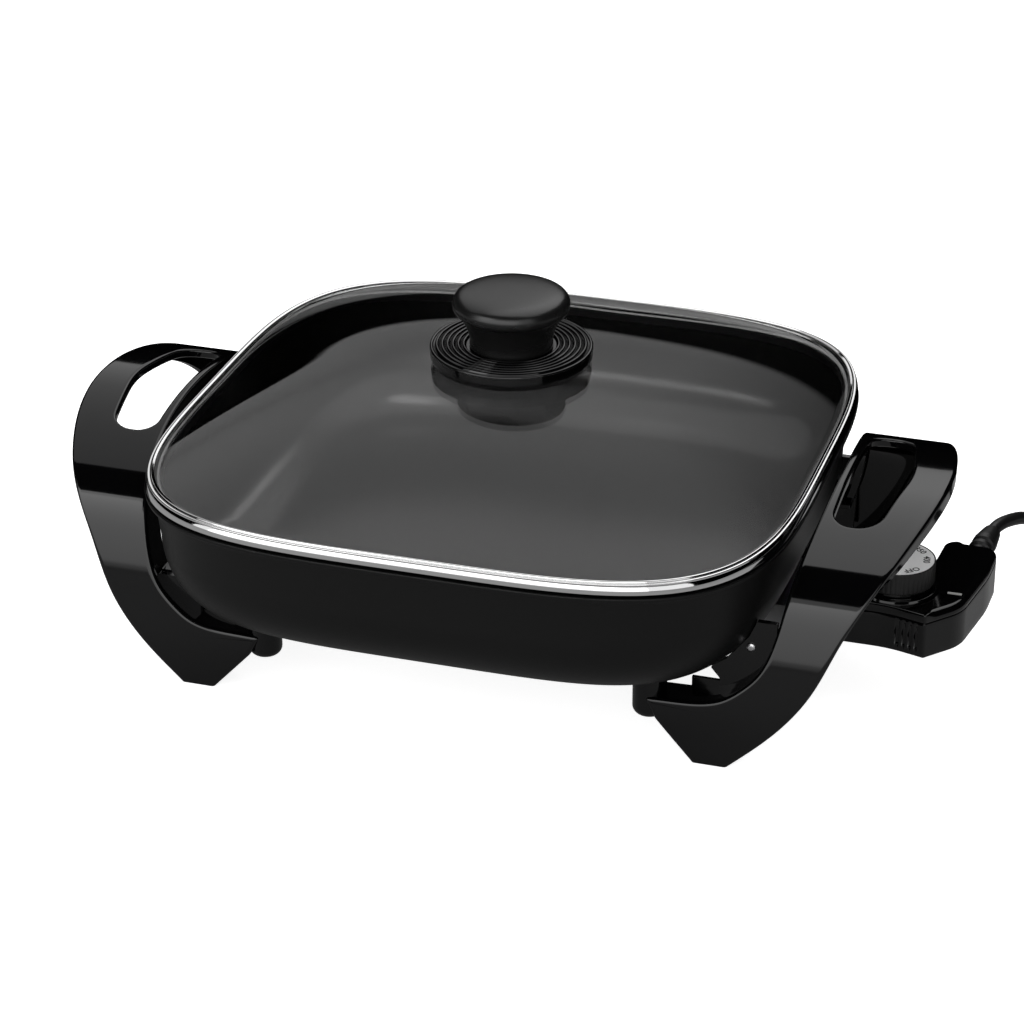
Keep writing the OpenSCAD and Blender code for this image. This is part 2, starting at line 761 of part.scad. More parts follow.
// The housing's plan moved inwards by d, with its corners' radii to match
function housing_plan(d) =
    let (
        c = housing_corners,
        n = len(c),
        flat = [for (q = c) [q[0], q[1]]],
        moved = d == 0 ? flat : shrunk(flat, d)
    )
        rounded([
            for (i = [0:n - 1])
                let (u = flat[i] - flat[(i + n - 1) % n], v = flat[(i + 1) % n] - flat[i], left = u[0] * v[1] - u[1] * v[0])
                    [moved[i][0], moved[i][1], left > 0 ? max(c[i][2] - d, 0.4) : c[i][2] + d]
        ]);

cover_screws = [[control_x + 42, -12], [control_x + 53, 36]];
boss_r = 3.4;
boss_split = 8;                 // height of the base's half of each screw boss
seat_h = 3;                     // height of the screws' seats above the underside
pilot_depth = 9;                // depth of the screw holes in the cover's half
cover_screw_l = 13;
cover_screw_r = 1.25;
mark_from = 47.5;               // index mark, from the housing's front face
mark_l = 7;

module control_base() {
    color([0.04, 0.04, 0.045])
    difference() {
        union() {
            difference() {
                translate([0, 0, control_under]) linear_extrude(control_h - cover_h - housing_seam) polygon(housing_plan(0));
                translate([0, 0, control_under + housing_wall])
                    linear_extrude(control_h) polygon(housing_plan(housing_wall));
            }
            for (p = cover_screws) translate([p[0], p[1], control_under])
                cylinder(h = boss_split, r = boss_r, $fn = fine);
        }
        for (p = cover_screws) translate([p[0], p[1], control_under - 1]) {
            cylinder(h = seat_h + 1, r = 3, $fn = fine);
            cylinder(h = boss_split + 4, r = cover_screw_r + 0.2, $fn = fine);
        }
        for (s = [-1, 1]) translate([0, s * leg_y, heater_z])
            rod_x(control_x - 1, control_x + housing_wall + 1, pin_d / 2 + 0.8);
        translate([0, 0, heater_z]) rod_x(control_x - 1, control_x + housing_wall + 1, probe_d / 2 + 0.1);
        relief_plug(relief_r - 2, 9, 1);
    }
}

module control_cover() {
    color([0.04, 0.04, 0.045])
    difference() {
        union() {
            translate([0, 0, cover_z]) linear_extrude(cover_h - 0.8) polygon(housing_plan(0));
            translate([0, 0, control_top - 0.8]) linear_extrude(0.8) polygon(housing_plan(0.8));
            for (p = cover_screws) translate([p[0], p[1], control_under + boss_split + 0.1])
                cylinder(h = cover_z - control_under - boss_split - 0.1 + join, r = boss_r, $fn = fine);
            translate([dial_x, 0, cover_z - 2]) cylinder(h = 2 + join, r = shaft_d / 2 + 2, $fn = fine);
        }
        translate([dial_x, 0, cover_z - 10]) cylinder(h = 20, r = shaft_d / 2 + slip, $fn = fine);
        for (p = cover_screws) translate([p[0], p[1], control_under + boss_split])
            cylinder(h = pilot_depth, r = cover_screw_r + 0.05, $fn = fine);
        translate([control_x + mark_from, -1, control_top - 0.5]) cube([mark_l, 2, 1]);
        relief_plug(relief_r - 2, 9, 1);
    }
}

module control_screws() {
    color([0.8, 0.8, 0.8])
    for (p = cover_screws) translate([p[0], p[1], control_under + seat_h]) {
        translate([0, 0, -1.8]) cylinder(h = 1.8, r = 2.6, $fn = fine);
        cylinder(h = cover_screw_l, r = cover_screw_r, $fn = fine);
    }
}

module dial_collar() {
    color([0.1, 0.1, 0.1])
    translate([dial_x, 0, collar_z]) difference() {
        union() {
            cylinder(h = 1.4, r = dial_d / 2 + 2.4, $fn = fine);
            cylinder(h = collar_h, r = dial_d / 2 - 1.4, $fn = fine);
        }
        translate([0, 0, -1]) cylinder(h = collar_h + 2, r = dial_d / 2 - 4, $fn = fine);
    }
}

module index_mark() {
    color([0.85, 0.85, 0.82])
    translate([control_x + mark_from + 0.1, -0.9, control_top - 0.5]) cube([mark_l - 0.2, 1.8, 0.7]);
}

flutes = 36;

module dial() {
    r = dial_d / 2;
    color([0.06, 0.06, 0.06])
    translate([dial_x, 0, dial_z]) difference() {
        cylinder(h = dial_h, r = r, $fn = fine);
        translate([0, 0, dial_h - 0.8]) cylinder(h = 2, r = r - 1.4, $fn = fine);
        translate([0, 0, -1]) difference() {
            cylinder(h = dial_h - 2, r = r - 2, $fn = fine);
            cylinder(h = dial_h, r = shaft_d / 2 + 2.5, $fn = fine);
        }
        translate([0, 0, -1]) cylinder(h = dial_h - 2, r = shaft_d / 2, $fn = fine);
        for (k = [0:flutes - 1]) rotate([0, 0, 360 * k / flutes])
            translate([r + 0.5, 0, -1]) cylinder(h = dial_h - 1.2, r = 0.85, $fn = 24);
    }
}

module dial_plate() {
    color([0.92, 0.92, 0.9])
    translate([dial_x, 0, dial_z + dial_h - 0.8]) cylinder(h = 0.7, r = dial_d / 2 - 1.5, $fn = fine);
}

cam_z = heater_z + 4.2;

module dial_shaft() {
    color([0.75, 0.75, 0.76])
    translate([dial_x, 0, frame_z + 1.2]) cylinder(h = dial_z + dial_h - 3 - frame_z - 1.2, r = shaft_d / 2, $fn = fine);
}

// Cam on the shaft that lifts the contact blades as the dial turns
module adjusting_cam() {
    color([0.85, 0.8, 0.65])
    translate([dial_x, 0, cam_z]) difference() {
        union() {
            cylinder(h = 2.4, r = shaft_d / 2 + 2.6, $fn = fine);
            translate([1.6, 0, 0]) cylinder(h = 2.4, r = shaft_d / 2 + 2, $fn = fine);
        }
        translate([0, 0, -1]) cylinder(h = 5, r = shaft_d / 2, $fn = fine);
    }
}

frame_z = control_under + housing_wall;

frame_x = control_x + housing_wall + 8;
stack_x = dial_x + 17;

module thermostat_frame() {
    color([0.7, 0.68, 0.6])
    difference() {
        union() {
            translate([frame_x, -8, frame_z]) cube([stack_x + 6 - frame_x, 16, 1.2]);
            translate([frame_x, -8, frame_z]) cube([1.2, 16, heater_z + probe_d / 2 + 2 - frame_z]);
            translate([dial_x, 0, frame_z]) cylinder(h = 4, r = shaft_d / 2 + 2, $fn = fine);
        }
        translate([dial_x, 0, frame_z + 1.2]) cylinder(h = 8, r = shaft_d / 2 + slip, $fn = fine);
        translate([0, 0, heater_z]) rod_x(frame_x - 1, frame_x + 2, probe_d / 2);
    }
}

// Two spring blades on an insulating stack, reaching in under the cam
module contact_blades() {
    color([0.8, 0.6, 0.35])
    union() {
        translate([stack_x, -4, frame_z + 1.2]) cube([5, 8, cam_z - frame_z - 1.6]);
        for (drop = [1.4, 4.6])
            translate([dial_x + shaft_d / 2 + 1, -2.5, cam_z - drop])
                cube([stack_x - dial_x - shaft_d / 2 - 1 + join, 5, 0.8]);
    }
}

module terminal_clips() {
    color([0.8, 0.7, 0.45])
    for (s = [-1, 1]) translate([0, s * leg_y, heater_z]) difference() {
        rod_x(control_x + housing_wall + 0.1, control_x + housing_wall + clip_l, pin_d / 2 + 1.1);
        rod_x(control_x + housing_wall - 1, pin_tip + 2, pin_d / 2 + slip);
    }
}

module probe_tube() {
    color([0.8, 0.8, 0.8])
    translate([0, 0, heater_z]) union() {
        rod_x(well_x - well_l + 8, frame_x + 1.2, probe_d / 2);
        translate([well_x - well_l + 8 - 2, 0, 0]) rotate([0, 90, 0])
            cylinder(h = 2, r1 = probe_d / 2 - 1.6, r2 = probe_d / 2, $fn = fine);
    }
}

relief_r = 6;

// Round plug through the housing's back wall, reaching in by inside and out by outside
module relief_plug(r, inside, outside) {
    translate([relief_x, tail_y + outside, relief_z]) rotate([90, 0, 0]) cylinder(h = inside + outside, r = r, $fn = fine);
}

module strain_relief() {
    profile = [
        [0, -4], [relief_r, -4], [relief_r, 9], [relief_r - 0.8, 9.7], [relief_r - 0.8, 10.9], [relief_r - 0.3, 11.6],
        [relief_r - 0.8, relief_l - 3], [relief_r - 1.6, relief_l - 1], [relief_r - 2.6, relief_l], [0, relief_l]
    ];
    color([0.03, 0.03, 0.03])
    union() {
        difference() {
            translate([relief_x, tail_y, relief_z]) rotate([-90, 0, -relief_turn]) rotate_extrude($fn = fine)
                polygon(profile);
            translate([relief_x - 20, tail_y - 40, relief_z - 20]) cube(40);
        }
        relief_plug(relief_r - 2.1, 5, join);
    }
}

// ---- cord and plug ----

module cord_lead() { color([0.1, 0.1, 0.1]) swept_along(lead, round_section(cord_d / 2)); }
module cord_tail() { color([0.1, 0.1, 0.1]) swept_along(tail, round_section(cord_d / 2)); }

// Outer shape of the turns: two side by side and one lying between them
coil_h = cord_d * 1.87;

module cord_coil() {
    r = cord_d / 2;
    color([0.1, 0.1, 0.1])
    translate([coil_c[0], coil_c[1], tie_t]) rotate_extrude($fn = 72)
        polygon(rounded([
            [coil_r - cord_d, 0, r * 0.8], [coil_r + cord_d, 0, r * 0.8],
            [coil_r + cord_d, cord_d * 0.9, r * 0.6], [coil_r + r, coil_h, r * 0.6],
            [coil_r - r, coil_h, r * 0.6], [coil_r - cord_d, cord_d * 0.9, r * 0.6]
        ], 4));
}

module cord_tie() {
    w = 2 * cord_d + 0.6;
    h = coil_h + 0.2;
    color([0.15, 0.15, 0.15])
    translate([coil_c[0], coil_c[1], 0]) rotate([0, 0, 110]) translate([coil_r, 0, 0]) difference() {
        translate([-w / 2 - tie_t, -3, 0]) cube([w + 2 * tie_t, 6, h + 2 * tie_t]);
        translate([-w / 2, -4, tie_t]) cube([w, 8, h]);
    }
}

module plug_body() {
    y0 = plug_end[1];
    color([0.05, 0.05, 0.05])
    translate([plug_end[0], 0, plug_t / 2]) union() {
        translate([0, y0, 0]) rotate([90, 0, 0]) cylinder(h = 14, r1 = cord_d / 2 + 1, r2 = 5.4, $fn = fine);
        translate([0, y0 - 13, 0]) rotate([90, 0, 0]) linear_extrude(plug_l - 13)
            polygon(rounded([
                [-plug_w / 2, -plug_t / 2, 4], [plug_w / 2, -plug_t / 2, 4],
                [plug_w / 2, plug_t / 2, 4], [-plug_w / 2, plug_t / 2, 4]
            ]));
    }
}

module plug_prongs() {
    color([0.85, 0.75, 0.5])
    for (s = [-1, 1])
        translate([plug_end[0] + s * 6.35, plug_end[1] - plug_l - 8, plug_t / 2]) cube([1.5, 16, 6.3], center = true);
}

// Places a piece in the frame of the footprint
module placed() { translate([-centre_x, 0, 0]) children(); }

placed() pan();
placed() heater_casting();
placed() heating_element();
placed() element_seals();
placed() terminal_pins();
placed() terminal_guard();
placed() guard_screws();
placed() handle_left();
placed() handle_right();
placed() post_screws();
placed() tab_screws();
placed() lid_glass();
placed() lid_band();
placed() knob_gasket();
placed() knob_base();
placed() knob_grip();
placed() knob_washer();
placed() knob_screw();
placed() control_base();
placed() control_cover();
placed() control_screws();
placed() dial_collar();
placed() index_mark();
placed() dial();
placed() dial_plate();
placed() dial_shaft();
placed() adjusting_cam();
placed() thermostat_frame();
placed() contact_blades();
placed() terminal_clips();
placed() probe_tube();
placed() strain_relief();
placed() cord_lead();
placed() cord_coil();
placed() cord_tie();
placed() cord_tail();
placed() plug_body();
placed() plug_prongs();
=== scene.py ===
import json
import math
import bmesh
import bpy
import numpy as np
from mathutils import Matrix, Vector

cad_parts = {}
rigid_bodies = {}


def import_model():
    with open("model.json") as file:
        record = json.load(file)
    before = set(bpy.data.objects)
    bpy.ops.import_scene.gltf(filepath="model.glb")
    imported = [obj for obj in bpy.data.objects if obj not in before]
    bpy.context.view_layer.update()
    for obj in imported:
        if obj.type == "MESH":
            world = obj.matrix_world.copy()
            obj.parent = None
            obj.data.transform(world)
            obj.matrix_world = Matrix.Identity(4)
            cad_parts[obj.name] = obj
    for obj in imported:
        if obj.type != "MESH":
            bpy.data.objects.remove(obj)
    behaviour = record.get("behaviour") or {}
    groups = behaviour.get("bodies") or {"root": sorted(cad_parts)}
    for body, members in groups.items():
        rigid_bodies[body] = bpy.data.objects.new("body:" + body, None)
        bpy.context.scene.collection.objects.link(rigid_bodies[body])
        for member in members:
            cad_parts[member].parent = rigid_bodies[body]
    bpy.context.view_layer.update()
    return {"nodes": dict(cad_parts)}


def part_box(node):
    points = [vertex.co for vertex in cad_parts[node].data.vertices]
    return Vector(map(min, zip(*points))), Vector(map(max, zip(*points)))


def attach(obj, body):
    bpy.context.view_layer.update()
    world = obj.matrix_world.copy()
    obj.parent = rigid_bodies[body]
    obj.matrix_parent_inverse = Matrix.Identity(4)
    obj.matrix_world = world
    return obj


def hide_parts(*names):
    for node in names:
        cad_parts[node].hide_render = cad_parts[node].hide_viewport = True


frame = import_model()
print("frame loaded:", len(frame["nodes"]), "nodes")

# Lowest and highest corners of a node at rest, in millimetres
def nodeBox(name):
    return [np.array(corner) * 1000 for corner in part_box(name)]

panLow, panHigh = nodeBox("pan")
bandLow, bandHigh = nodeBox("lid_band")
centreX = (panLow[0] + panHigh[0]) / 2
halfX, halfY = (panHigh[:2] - panLow[:2]) / 2
bandX, bandY = (bandHigh[:2] - bandLow[:2]) / 2
ringPoints = 288                                             # points round each ring of the pan and the lid

# camera

view = {
    "azimuth": 17.376, "elevation": 27.084, "roll": -0.1435, "distance": 1603.3,
    "target": (centreX + 0.07, 0.0, 62.06), "lens": 115.38, "sensor": 36.0,
}

# The camera stands off its target by azimuth and elevation, looks back at it and rolls about that line.
def makeCamera():
    az, el, roll = (math.radians(view[k]) for k in ("azimuth", "elevation", "roll"))
    back = np.array([math.sin(az) * math.cos(el), -math.cos(az) * math.cos(el), math.sin(el)])
    right = np.array([math.cos(az), math.sin(az), 0.0])
    up = np.cross(back, right)
    matrix = np.eye(4)
    matrix[:3, 0] = math.cos(roll) * right + math.sin(roll) * up
    matrix[:3, 1] = math.cos(roll) * up - math.sin(roll) * right
    matrix[:3, 2] = back
    matrix[:3, 3] = (np.array(view["target"]) + view["distance"] * back) / 1000
    data = bpy.data.cameras.new("camera")
    data.lens, data.sensor_width = view["lens"], view["sensor"]
    data.clip_start, data.clip_end = 0.05, 30
    camera = bpy.data.objects.new("camera", data)
    bpy.context.scene.collection.objects.link(camera)
    camera.matrix_world = Matrix(matrix.tolist())
    bpy.context.scene.camera = camera

makeCamera()
bpy.context.scene.view_settings.view_transform = "Standard"
print("camera made")

# meshes

# Piece from points in millimetres and arrays of faces; edges bent more than sharp degrees stay crisp.
def addPiece(name, points, faceSets, material, body=None, replaced=(), slot=None, sharp=40):
    corners = np.concatenate([f.ravel() for f in faceSets]).astype(np.int32)
    starts = np.cumsum(np.concatenate([[0]] + [np.full(len(f), f.shape[1]) for f in faceSets]))[:-1]
    data = bpy.data.meshes.new(name)
    data.vertices.add(len(points))
    data.vertices.foreach_set("co", (np.asarray(points) / 1000).astype(np.float32).ravel())
    data.loops.add(len(corners))
    data.loops.foreach_set("vertex_index", corners)
    data.polygons.add(len(starts))
    data.polygons.foreach_set("loop_start", starts.astype(np.int32))
    data.update(calc_edges=True)
    data.validate()
    data.shade_smooth()
    data.set_sharp_from_angle(angle=math.radians(sharp))
    data.materials.append(material)
    piece = bpy.data.objects.new(name, data)
    bpy.context.scene.collection.objects.link(piece)
    if body:
        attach(piece, body)
    if replaced:
        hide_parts(*replaced)
    return piece

# Quads between neighbouring rows and columns of a grid stored row by row.
def gridQuads(rows, cols, wrapRows=False, wrapCols=True, start=0):
    r = np.arange(rows if wrapRows else rows - 1)[:, None]
    c = np.arange(cols if wrapCols else cols - 1)[None, :]
    r2, c2 = (r + 1) % rows, (c + 1) % cols
    return start + np.stack([r * cols + c, r * cols + c2, r2 * cols + c2, r2 * cols + c], -1).reshape(-1, 4)

flatEnds, poleEnds = ("flat", "flat"), ("pole", "pole")

# Collects grids of points and their faces, so that several closed shells can make one piece.
class Shell:
    def __init__(self):
        self.points, self.faces, self.count = [], [], 0

    # one grid, whose first and last rows are left open, closed flat or drawn to a pole at their middle
    def add(self, grid, caps=(None, None), wrapRows=False, wrapCols=True, flip=False):
        rows, cols = grid.shape[:2]
        start = self.count
        self.points.append(grid.reshape(-1, 3))
        self.count += rows * cols
        sets = [gridQuads(rows, cols, wrapRows, wrapCols, start)]
        ring = np.arange(cols)
        for cap, row, turned in ((caps[0], 0, True), (caps[1], rows - 1, False)):
            edge = start + row * cols + (ring[::-1] if turned else ring)
            if cap == "flat":
                sets.append(edge[None, :])
            elif cap == "pole":
                self.points.append(grid[row].mean(0)[None, :])
                sets.append(np.stack([edge, np.roll(edge, -1), np.full(cols, self.count)], -1))
                self.count += 1
        self.faces += [f[:, ::-1] if flip else f for f in sets]
        return self

    # everything collected, as one piece
    def piece(self, name, material, **more):
        return addPiece(name, np.concatenate(self.points), self.faces, material, **more)

# Outline laid at a height, which may change along it
def level(loop, z):
    return np.column_stack([loop, np.broadcast_to(z, len(loop))])

# Outline moved outwards by d along its own normals
def offsetLoop(loop, d):
    run = np.roll(loop, -1, 0) - np.roll(loop, 1, 0)
    normal = np.stack([run[:, 1], -run[:, 0]], -1)
    return loop + d * normal / np.linalg.norm(normal, axis=1)[:, None]

# Superellipse: at angle t, the radius at which (x/a)^power + (y/b)^power = 1.
def squircle(a, b, power, count=ringPoints):
    t = np.linspace(0, 2 * np.pi, count, endpoint=False)
    radius = ((np.abs(np.cos(t)) / a) ** power + (np.abs(np.sin(t)) / b) ** power) ** (-1 / power)
    return np.stack([radius * np.cos(t), radius * np.sin(t)], -1)

# Carries a profile of [inset, height] round the superellipse, whose power may change from ring to ring.
def rings(profile, a, b, power):
    powers = np.broadcast_to(power, len(profile))
    grid = [level(squircle(a - d, b - d, e), z) for (d, z), e in zip(profile, powers)]
    return np.array(grid) + [centreX, 0, 0]

# Turns a profile of [radius, height] about a vertical axis.
def lathe(profile, centre=(0, 0), count=128):
    t = np.linspace(0, 2 * np.pi, count, endpoint=False)
    r, z = np.array(profile, float).T
    return np.stack([
        centre[0] + r[:, None] * np.cos(t), centre[1] + r[:, None] * np.sin(t), np.repeat(z[:, None], count, 1)
    ], -1)

# Profile through [x, y, radius] corners: arcs at the corners, with a point just before and after each.
def rounded(corners, steps=5, hold=0.25):
    corners = [tuple(c) + (0,) * (3 - len(c)) for c in corners]
    out = []
    for i, (x, y, r) in enumerate(corners):
        here = np.array([x, y], float)
        if r <= 0 or i in (0, len(corners) - 1):
            out.append(here)
            continue
        u = np.array(corners[i - 1][:2], float) - here
        v = np.array(corners[i + 1][:2], float) - here
        u, v = u / np.linalg.norm(u), v / np.linalg.norm(v)
        half = math.acos(max(-1.0, min(1.0, u @ v))) / 2
        middle = here + (u + v) / np.linalg.norm(u + v) * r / math.sin(half)
        start, end = here + u * r / math.tan(half) - middle, here + v * r / math.tan(half) - middle
        a0 = math.atan2(start[1], start[0])
        turn = math.atan2(start[0] * end[1] - start[1] * end[0], start @ end)
        if hold:
            out.append(middle + start + u * r * hold)
        for k in range(steps + 1):
            a = a0 + turn * k / steps
            out.append(middle + r * np.array([math.cos(a), math.sin(a)]))
        if hold:
            out.append(middle + end + v * r * hold)
    return np.array(out)

# Closed outline with rounded corners.
def roundedLoop(corners, steps=8):
    n = len(corners)
    out = []
    for i in range(n):
        out.append(rounded([corners[i - 1], corners[i], corners[(i + 1) % n]], steps, 0)[1:-1])
    return np.concatenate(out)

# Catmull-Rom curve through points.
def catmull(points, steps=12):
    p = np.array(points, float)
    padded = np.vstack([2 * p[0] - p[1], p, 2 * p[-1] - p[-2]])
    t = np.linspace(0, 1, steps, endpoint=False)[:, None]
    out = []
    for a, b, c, d in zip(padded, padded[1:], padded[2:], padded[3:]):
        square, cube = 2 * a - 5 * b + 4 * c - d, 3 * b - a - 3 * c + d
        out.append(0.5 * (2 * b + (c - a) * t + square * t ** 2 + cube * t ** 3))
    return np.vstack(out + [p[-1:]])

# Distance gone at each point of a polyline
def along(points):
    return np.concatenate([[0], np.cumsum(np.linalg.norm(np.diff(points, axis=0), axis=1))])

# Resamples a polyline at equal distances.
def evenly(points, step=None, count=None, closed=False):
    p = np.vstack([points, points[:1]]) if closed else np.asarray(points)
    gone = along(p)
    count = count or max(2, int(round(gone[-1] / step)) + 1)
    at = np.linspace(0, gone[-1], count, endpoint=not closed)
    return np.stack([np.interp(at, gone, p[:, k]) for k in range(p.shape[1])], -1)

# Round tube along a path: rings square to the path, turned as little as possible.
def tube(path, radius, sides=20):
    path = np.asarray(path, float)
    ahead = np.gradient(path, axis=0)
    ahead /= np.linalg.norm(ahead, axis=1)[:, None]
    side = np.cross(ahead, [0, 0, 1.0])
    side /= np.linalg.norm(side, axis=1)[:, None]
    up = np.cross(side, ahead)
    t = np.linspace(0, 2 * np.pi, sides, endpoint=False)
    radius = np.broadcast_to(radius, len(path))[:, None, None]
    return path[:, None] + radius * (np.cos(t)[None, :, None] * side[:, None] - np.sin(t)[None, :, None] * up[:, None])

# materials

# Material with its tree and its shader
def newMaterial(name):
    material = bpy.data.materials.new(name)
    material.use_nodes = True
    tree = material.node_tree
    return material, tree, tree.nodes["Principled BSDF"]

# Each socket takes another node's output, which is linked, or a plain value.
def fill(tree, made, sockets):
    for socket, source in sockets.items():
        if isinstance(source, bpy.types.NodeSocket):
            tree.links.new(source, made.inputs[socket])
        else:
            made.inputs[socket].default_value = source

# New node of a kind, with its settings and its sockets
def node(tree, kind, sockets={}, **settings):
    made = tree.nodes.new(kind)
    for key, value in settings.items():
        setattr(made, key, value)
    fill(tree, made, sockets)
    return made

# Sum, product or the like of its inputs
def maths(tree, operation, *inputs):
    return node(tree, "ShaderNodeMath", dict(enumerate(inputs)), operation=operation).outputs[0]

# Runs evenly from first to last while the source runs from low to high, and holds beyond them
def ramp(tree, source, first, last, low=0.0, high=1.0):
    sockets = {"Value": source, "From Min": low, "From Max": high, "To Min": first, "To Max": last}
    return node(tree, "ShaderNodeMapRange", sockets).outputs[0]

# Fine relief and a slow drift of gloss, shared by mouldings, castings and coatings: the roughness is the plain one
# plus the drift times slow noise about nought, and the normal comes from fine noise as height.
def grainGroup():
    group = bpy.data.node_groups.new("surfaceGrain", "ShaderNodeTree")
    face = group.interface
    for label, value in {"Scale": 900.0, "Relief": 0.05, "Roughness": 0.2, "Drift": 0.05, "Drift Scale": 14.0}.items():
        face.new_socket(label, in_out="INPUT", socket_type="NodeSocketFloat").default_value = value
    face.new_socket("Roughness", in_out="OUTPUT", socket_type="NodeSocketFloat")
    face.new_socket("Normal", in_out="OUTPUT", socket_type="NodeSocketVector")
    given = node(group, "NodeGroupInput").outputs
    place = node(group, "ShaderNodeTexCoord").outputs["Object"]
    fine = node(group, "ShaderNodeTexNoise", {"Vector": place, "Scale": given["Scale"]}).outputs["Fac"]
    slow = node(group, "ShaderNodeTexNoise", {"Vector": place, "Scale": given["Drift Scale"]}).outputs["Fac"]
    bump = node(group, "ShaderNodeBump", {"Strength": given["Relief"], "Height": fine, "Distance": 0.0003})
    drift = maths(group, "MULTIPLY", maths(group, "SUBTRACT", slow, 0.5), given["Drift"])
    rough = maths(group, "ADD", drift, given["Roughness"])
    node(group, "NodeGroupOutput", {"Roughness": rough, "Normal": bump.outputs["Normal"]})
    return group

grain = grainGroup()

# Material with the shared grain under a plain colour
def grained(name, colour, rough, relief=0.05, scale=900.0, drift=0.05, metal=0.0, specular=0.5):
    material, tree, shader = newMaterial(name)
    sockets = {"Scale": scale, "Relief": relief, "Roughness": rough, "Drift": drift}
    made = node(tree, "ShaderNodeGroup", sockets, node_tree=grain).outputs
    fill(tree, shader, {
        "Base Color": (*colour, 1), "Roughness": made["Roughness"], "Normal": made["Normal"], "Metallic": metal,
        "Specular IOR Level": specular,
    })
    return material

glossBlack = grained("glossBlackMoulding", (0.0015, 0.0015, 0.0017), 0.07, relief=0.01, scale=160, drift=0.03)
satinBlack = grained("satinBlackMoulding", (0.008, 0.008, 0.008), 0.27, relief=0.06, scale=1400, drift=0.05)
panOutside = grained("panOutside", (0.003, 0.003, 0.003), 0.42, relief=0.08, scale=1800, drift=0.05, specular=0.25)
panInside = grained("panInside", (0.004, 0.004, 0.004), 0.2, relief=0.008, scale=1400, drift=0.02)
polishedSteel = grained("polishedSteel", (0.80, 0.80, 0.80), 0.06, relief=0.006, drift=0.03, metal=1.0)
platedSteel = grained("platedSteel", (0.60, 0.60, 0.61), 0.28, relief=0.05, drift=0.12, metal=1.0)
castMetal = grained("castAluminium", (0.50, 0.50, 0.51), 0.48, relief=0.35, scale=700, drift=0.15, metal=1.0)
elementSheath = grained("elementSheath", (0.16, 0.14, 0.13), 0.5, relief=0.2, scale=900, drift=0.2, metal=0.8)
# copy of the band's steel, rougher and with a dark colour that is painted shade for the part under the glass
dullSteel = grained("dullSteel", (0.20, 0.20, 0.20), 0.30, relief=0.02, drift=0.05, metal=1.0)
copper = grained("contactCopper", (0.65, 0.40, 0.22), 0.3, metal=1.0, drift=0.1)
brass = grained("brassProngs", (0.72, 0.56, 0.28), 0.25, metal=1.0, drift=0.1)
sealCeramic = grained("sealCeramic", (0.75, 0.72, 0.66), 0.6, relief=0.1)
rubberBlack = grained("softBlack", (0.007, 0.007, 0.007), 0.42, relief=0.1, scale=1200, drift=0.06)
cordJacket = grained("cordJacket", (0.008, 0.008, 0.0085), 0.38, relief=0.08, scale=1200, drift=0.06)
silicone = grained("greySilicone", (0.22, 0.22, 0.22), 0.5)
whitePrint = grained("whitePrint", (0.32, 0.32, 0.31), 0.5)
silverPlate = grained("silverPlate", (0.93, 0.93, 0.93), 0.32, relief=0.02, drift=0.05, metal=0.05)
inkBlack = grained("inkBlack", (0.02, 0.02, 0.02), 0.5)

# Clear glass; light for shadows and for diffuse bounces passes straight through it, a little dimmed.
def makeGlass():
    material, tree, shader = newMaterial("clearGlass")
    glass = {"Base Color": (0.94, 0.94, 0.94, 1), "Roughness": 0.0, "IOR": 1.46, "Transmission Weight": 1.0}
    fill(tree, shader, glass)
    see = node(tree, "ShaderNodeBsdfTransparent", {"Color": (0.91, 0.91, 0.91, 1)})
    rays = node(tree, "ShaderNodeLightPath").outputs
    either = maths(tree, "MAXIMUM", rays["Is Shadow Ray"], rays["Is Diffuse Ray"])
    mix = node(tree, "ShaderNodeMixShader", {0: either, 1: shader.outputs[0], 2: see.outputs[0]})
    fill(tree, tree.nodes["Material Output"], {"Surface": mix.outputs[0]})
    return material

clearGlass = makeGlass()
print("materials made")

# cord

cord = {"diameter": 6.5, "coilRadius": 36.0, "low": 3.75, "crossing": 0.87, "coilCentre": (280, 180)}
lead = [
    (223.4, 78.9, 45.8), (223.7, 82, 45.8), (224.9, 87, 45.6), (226.6, 92.5, 44.9), (228.4, 98, 43.6),
    (230.2, 103.5, 42), (231.9, 109, 40.1), (233.5, 114.5, 37.8), (235, 120, 34.9), (236.4, 125.5, 31.4),
    (237.6, 131, 27.3), (238.6, 136.5, 22.9), (239.4, 142, 18.6), (240, 147.5, 14.7), (240.4, 153, 11.4),
    (240.6, 158.5, 8.7), (240.7, 164, 6.5), (240.75, 169.5, 4.9), (240.75, 175, 4),
]
tail = [
    (316.1, 174, 9.9), (316.6, 168, 10.3), (317, 165, 10.3), (317.4, 162, 9.95), (317.8, 159, 9.1),
    (318.2, 156, 8.1), (318.8, 150, 7), (319, 144, 6.7), (319, 138, 6.7),
]

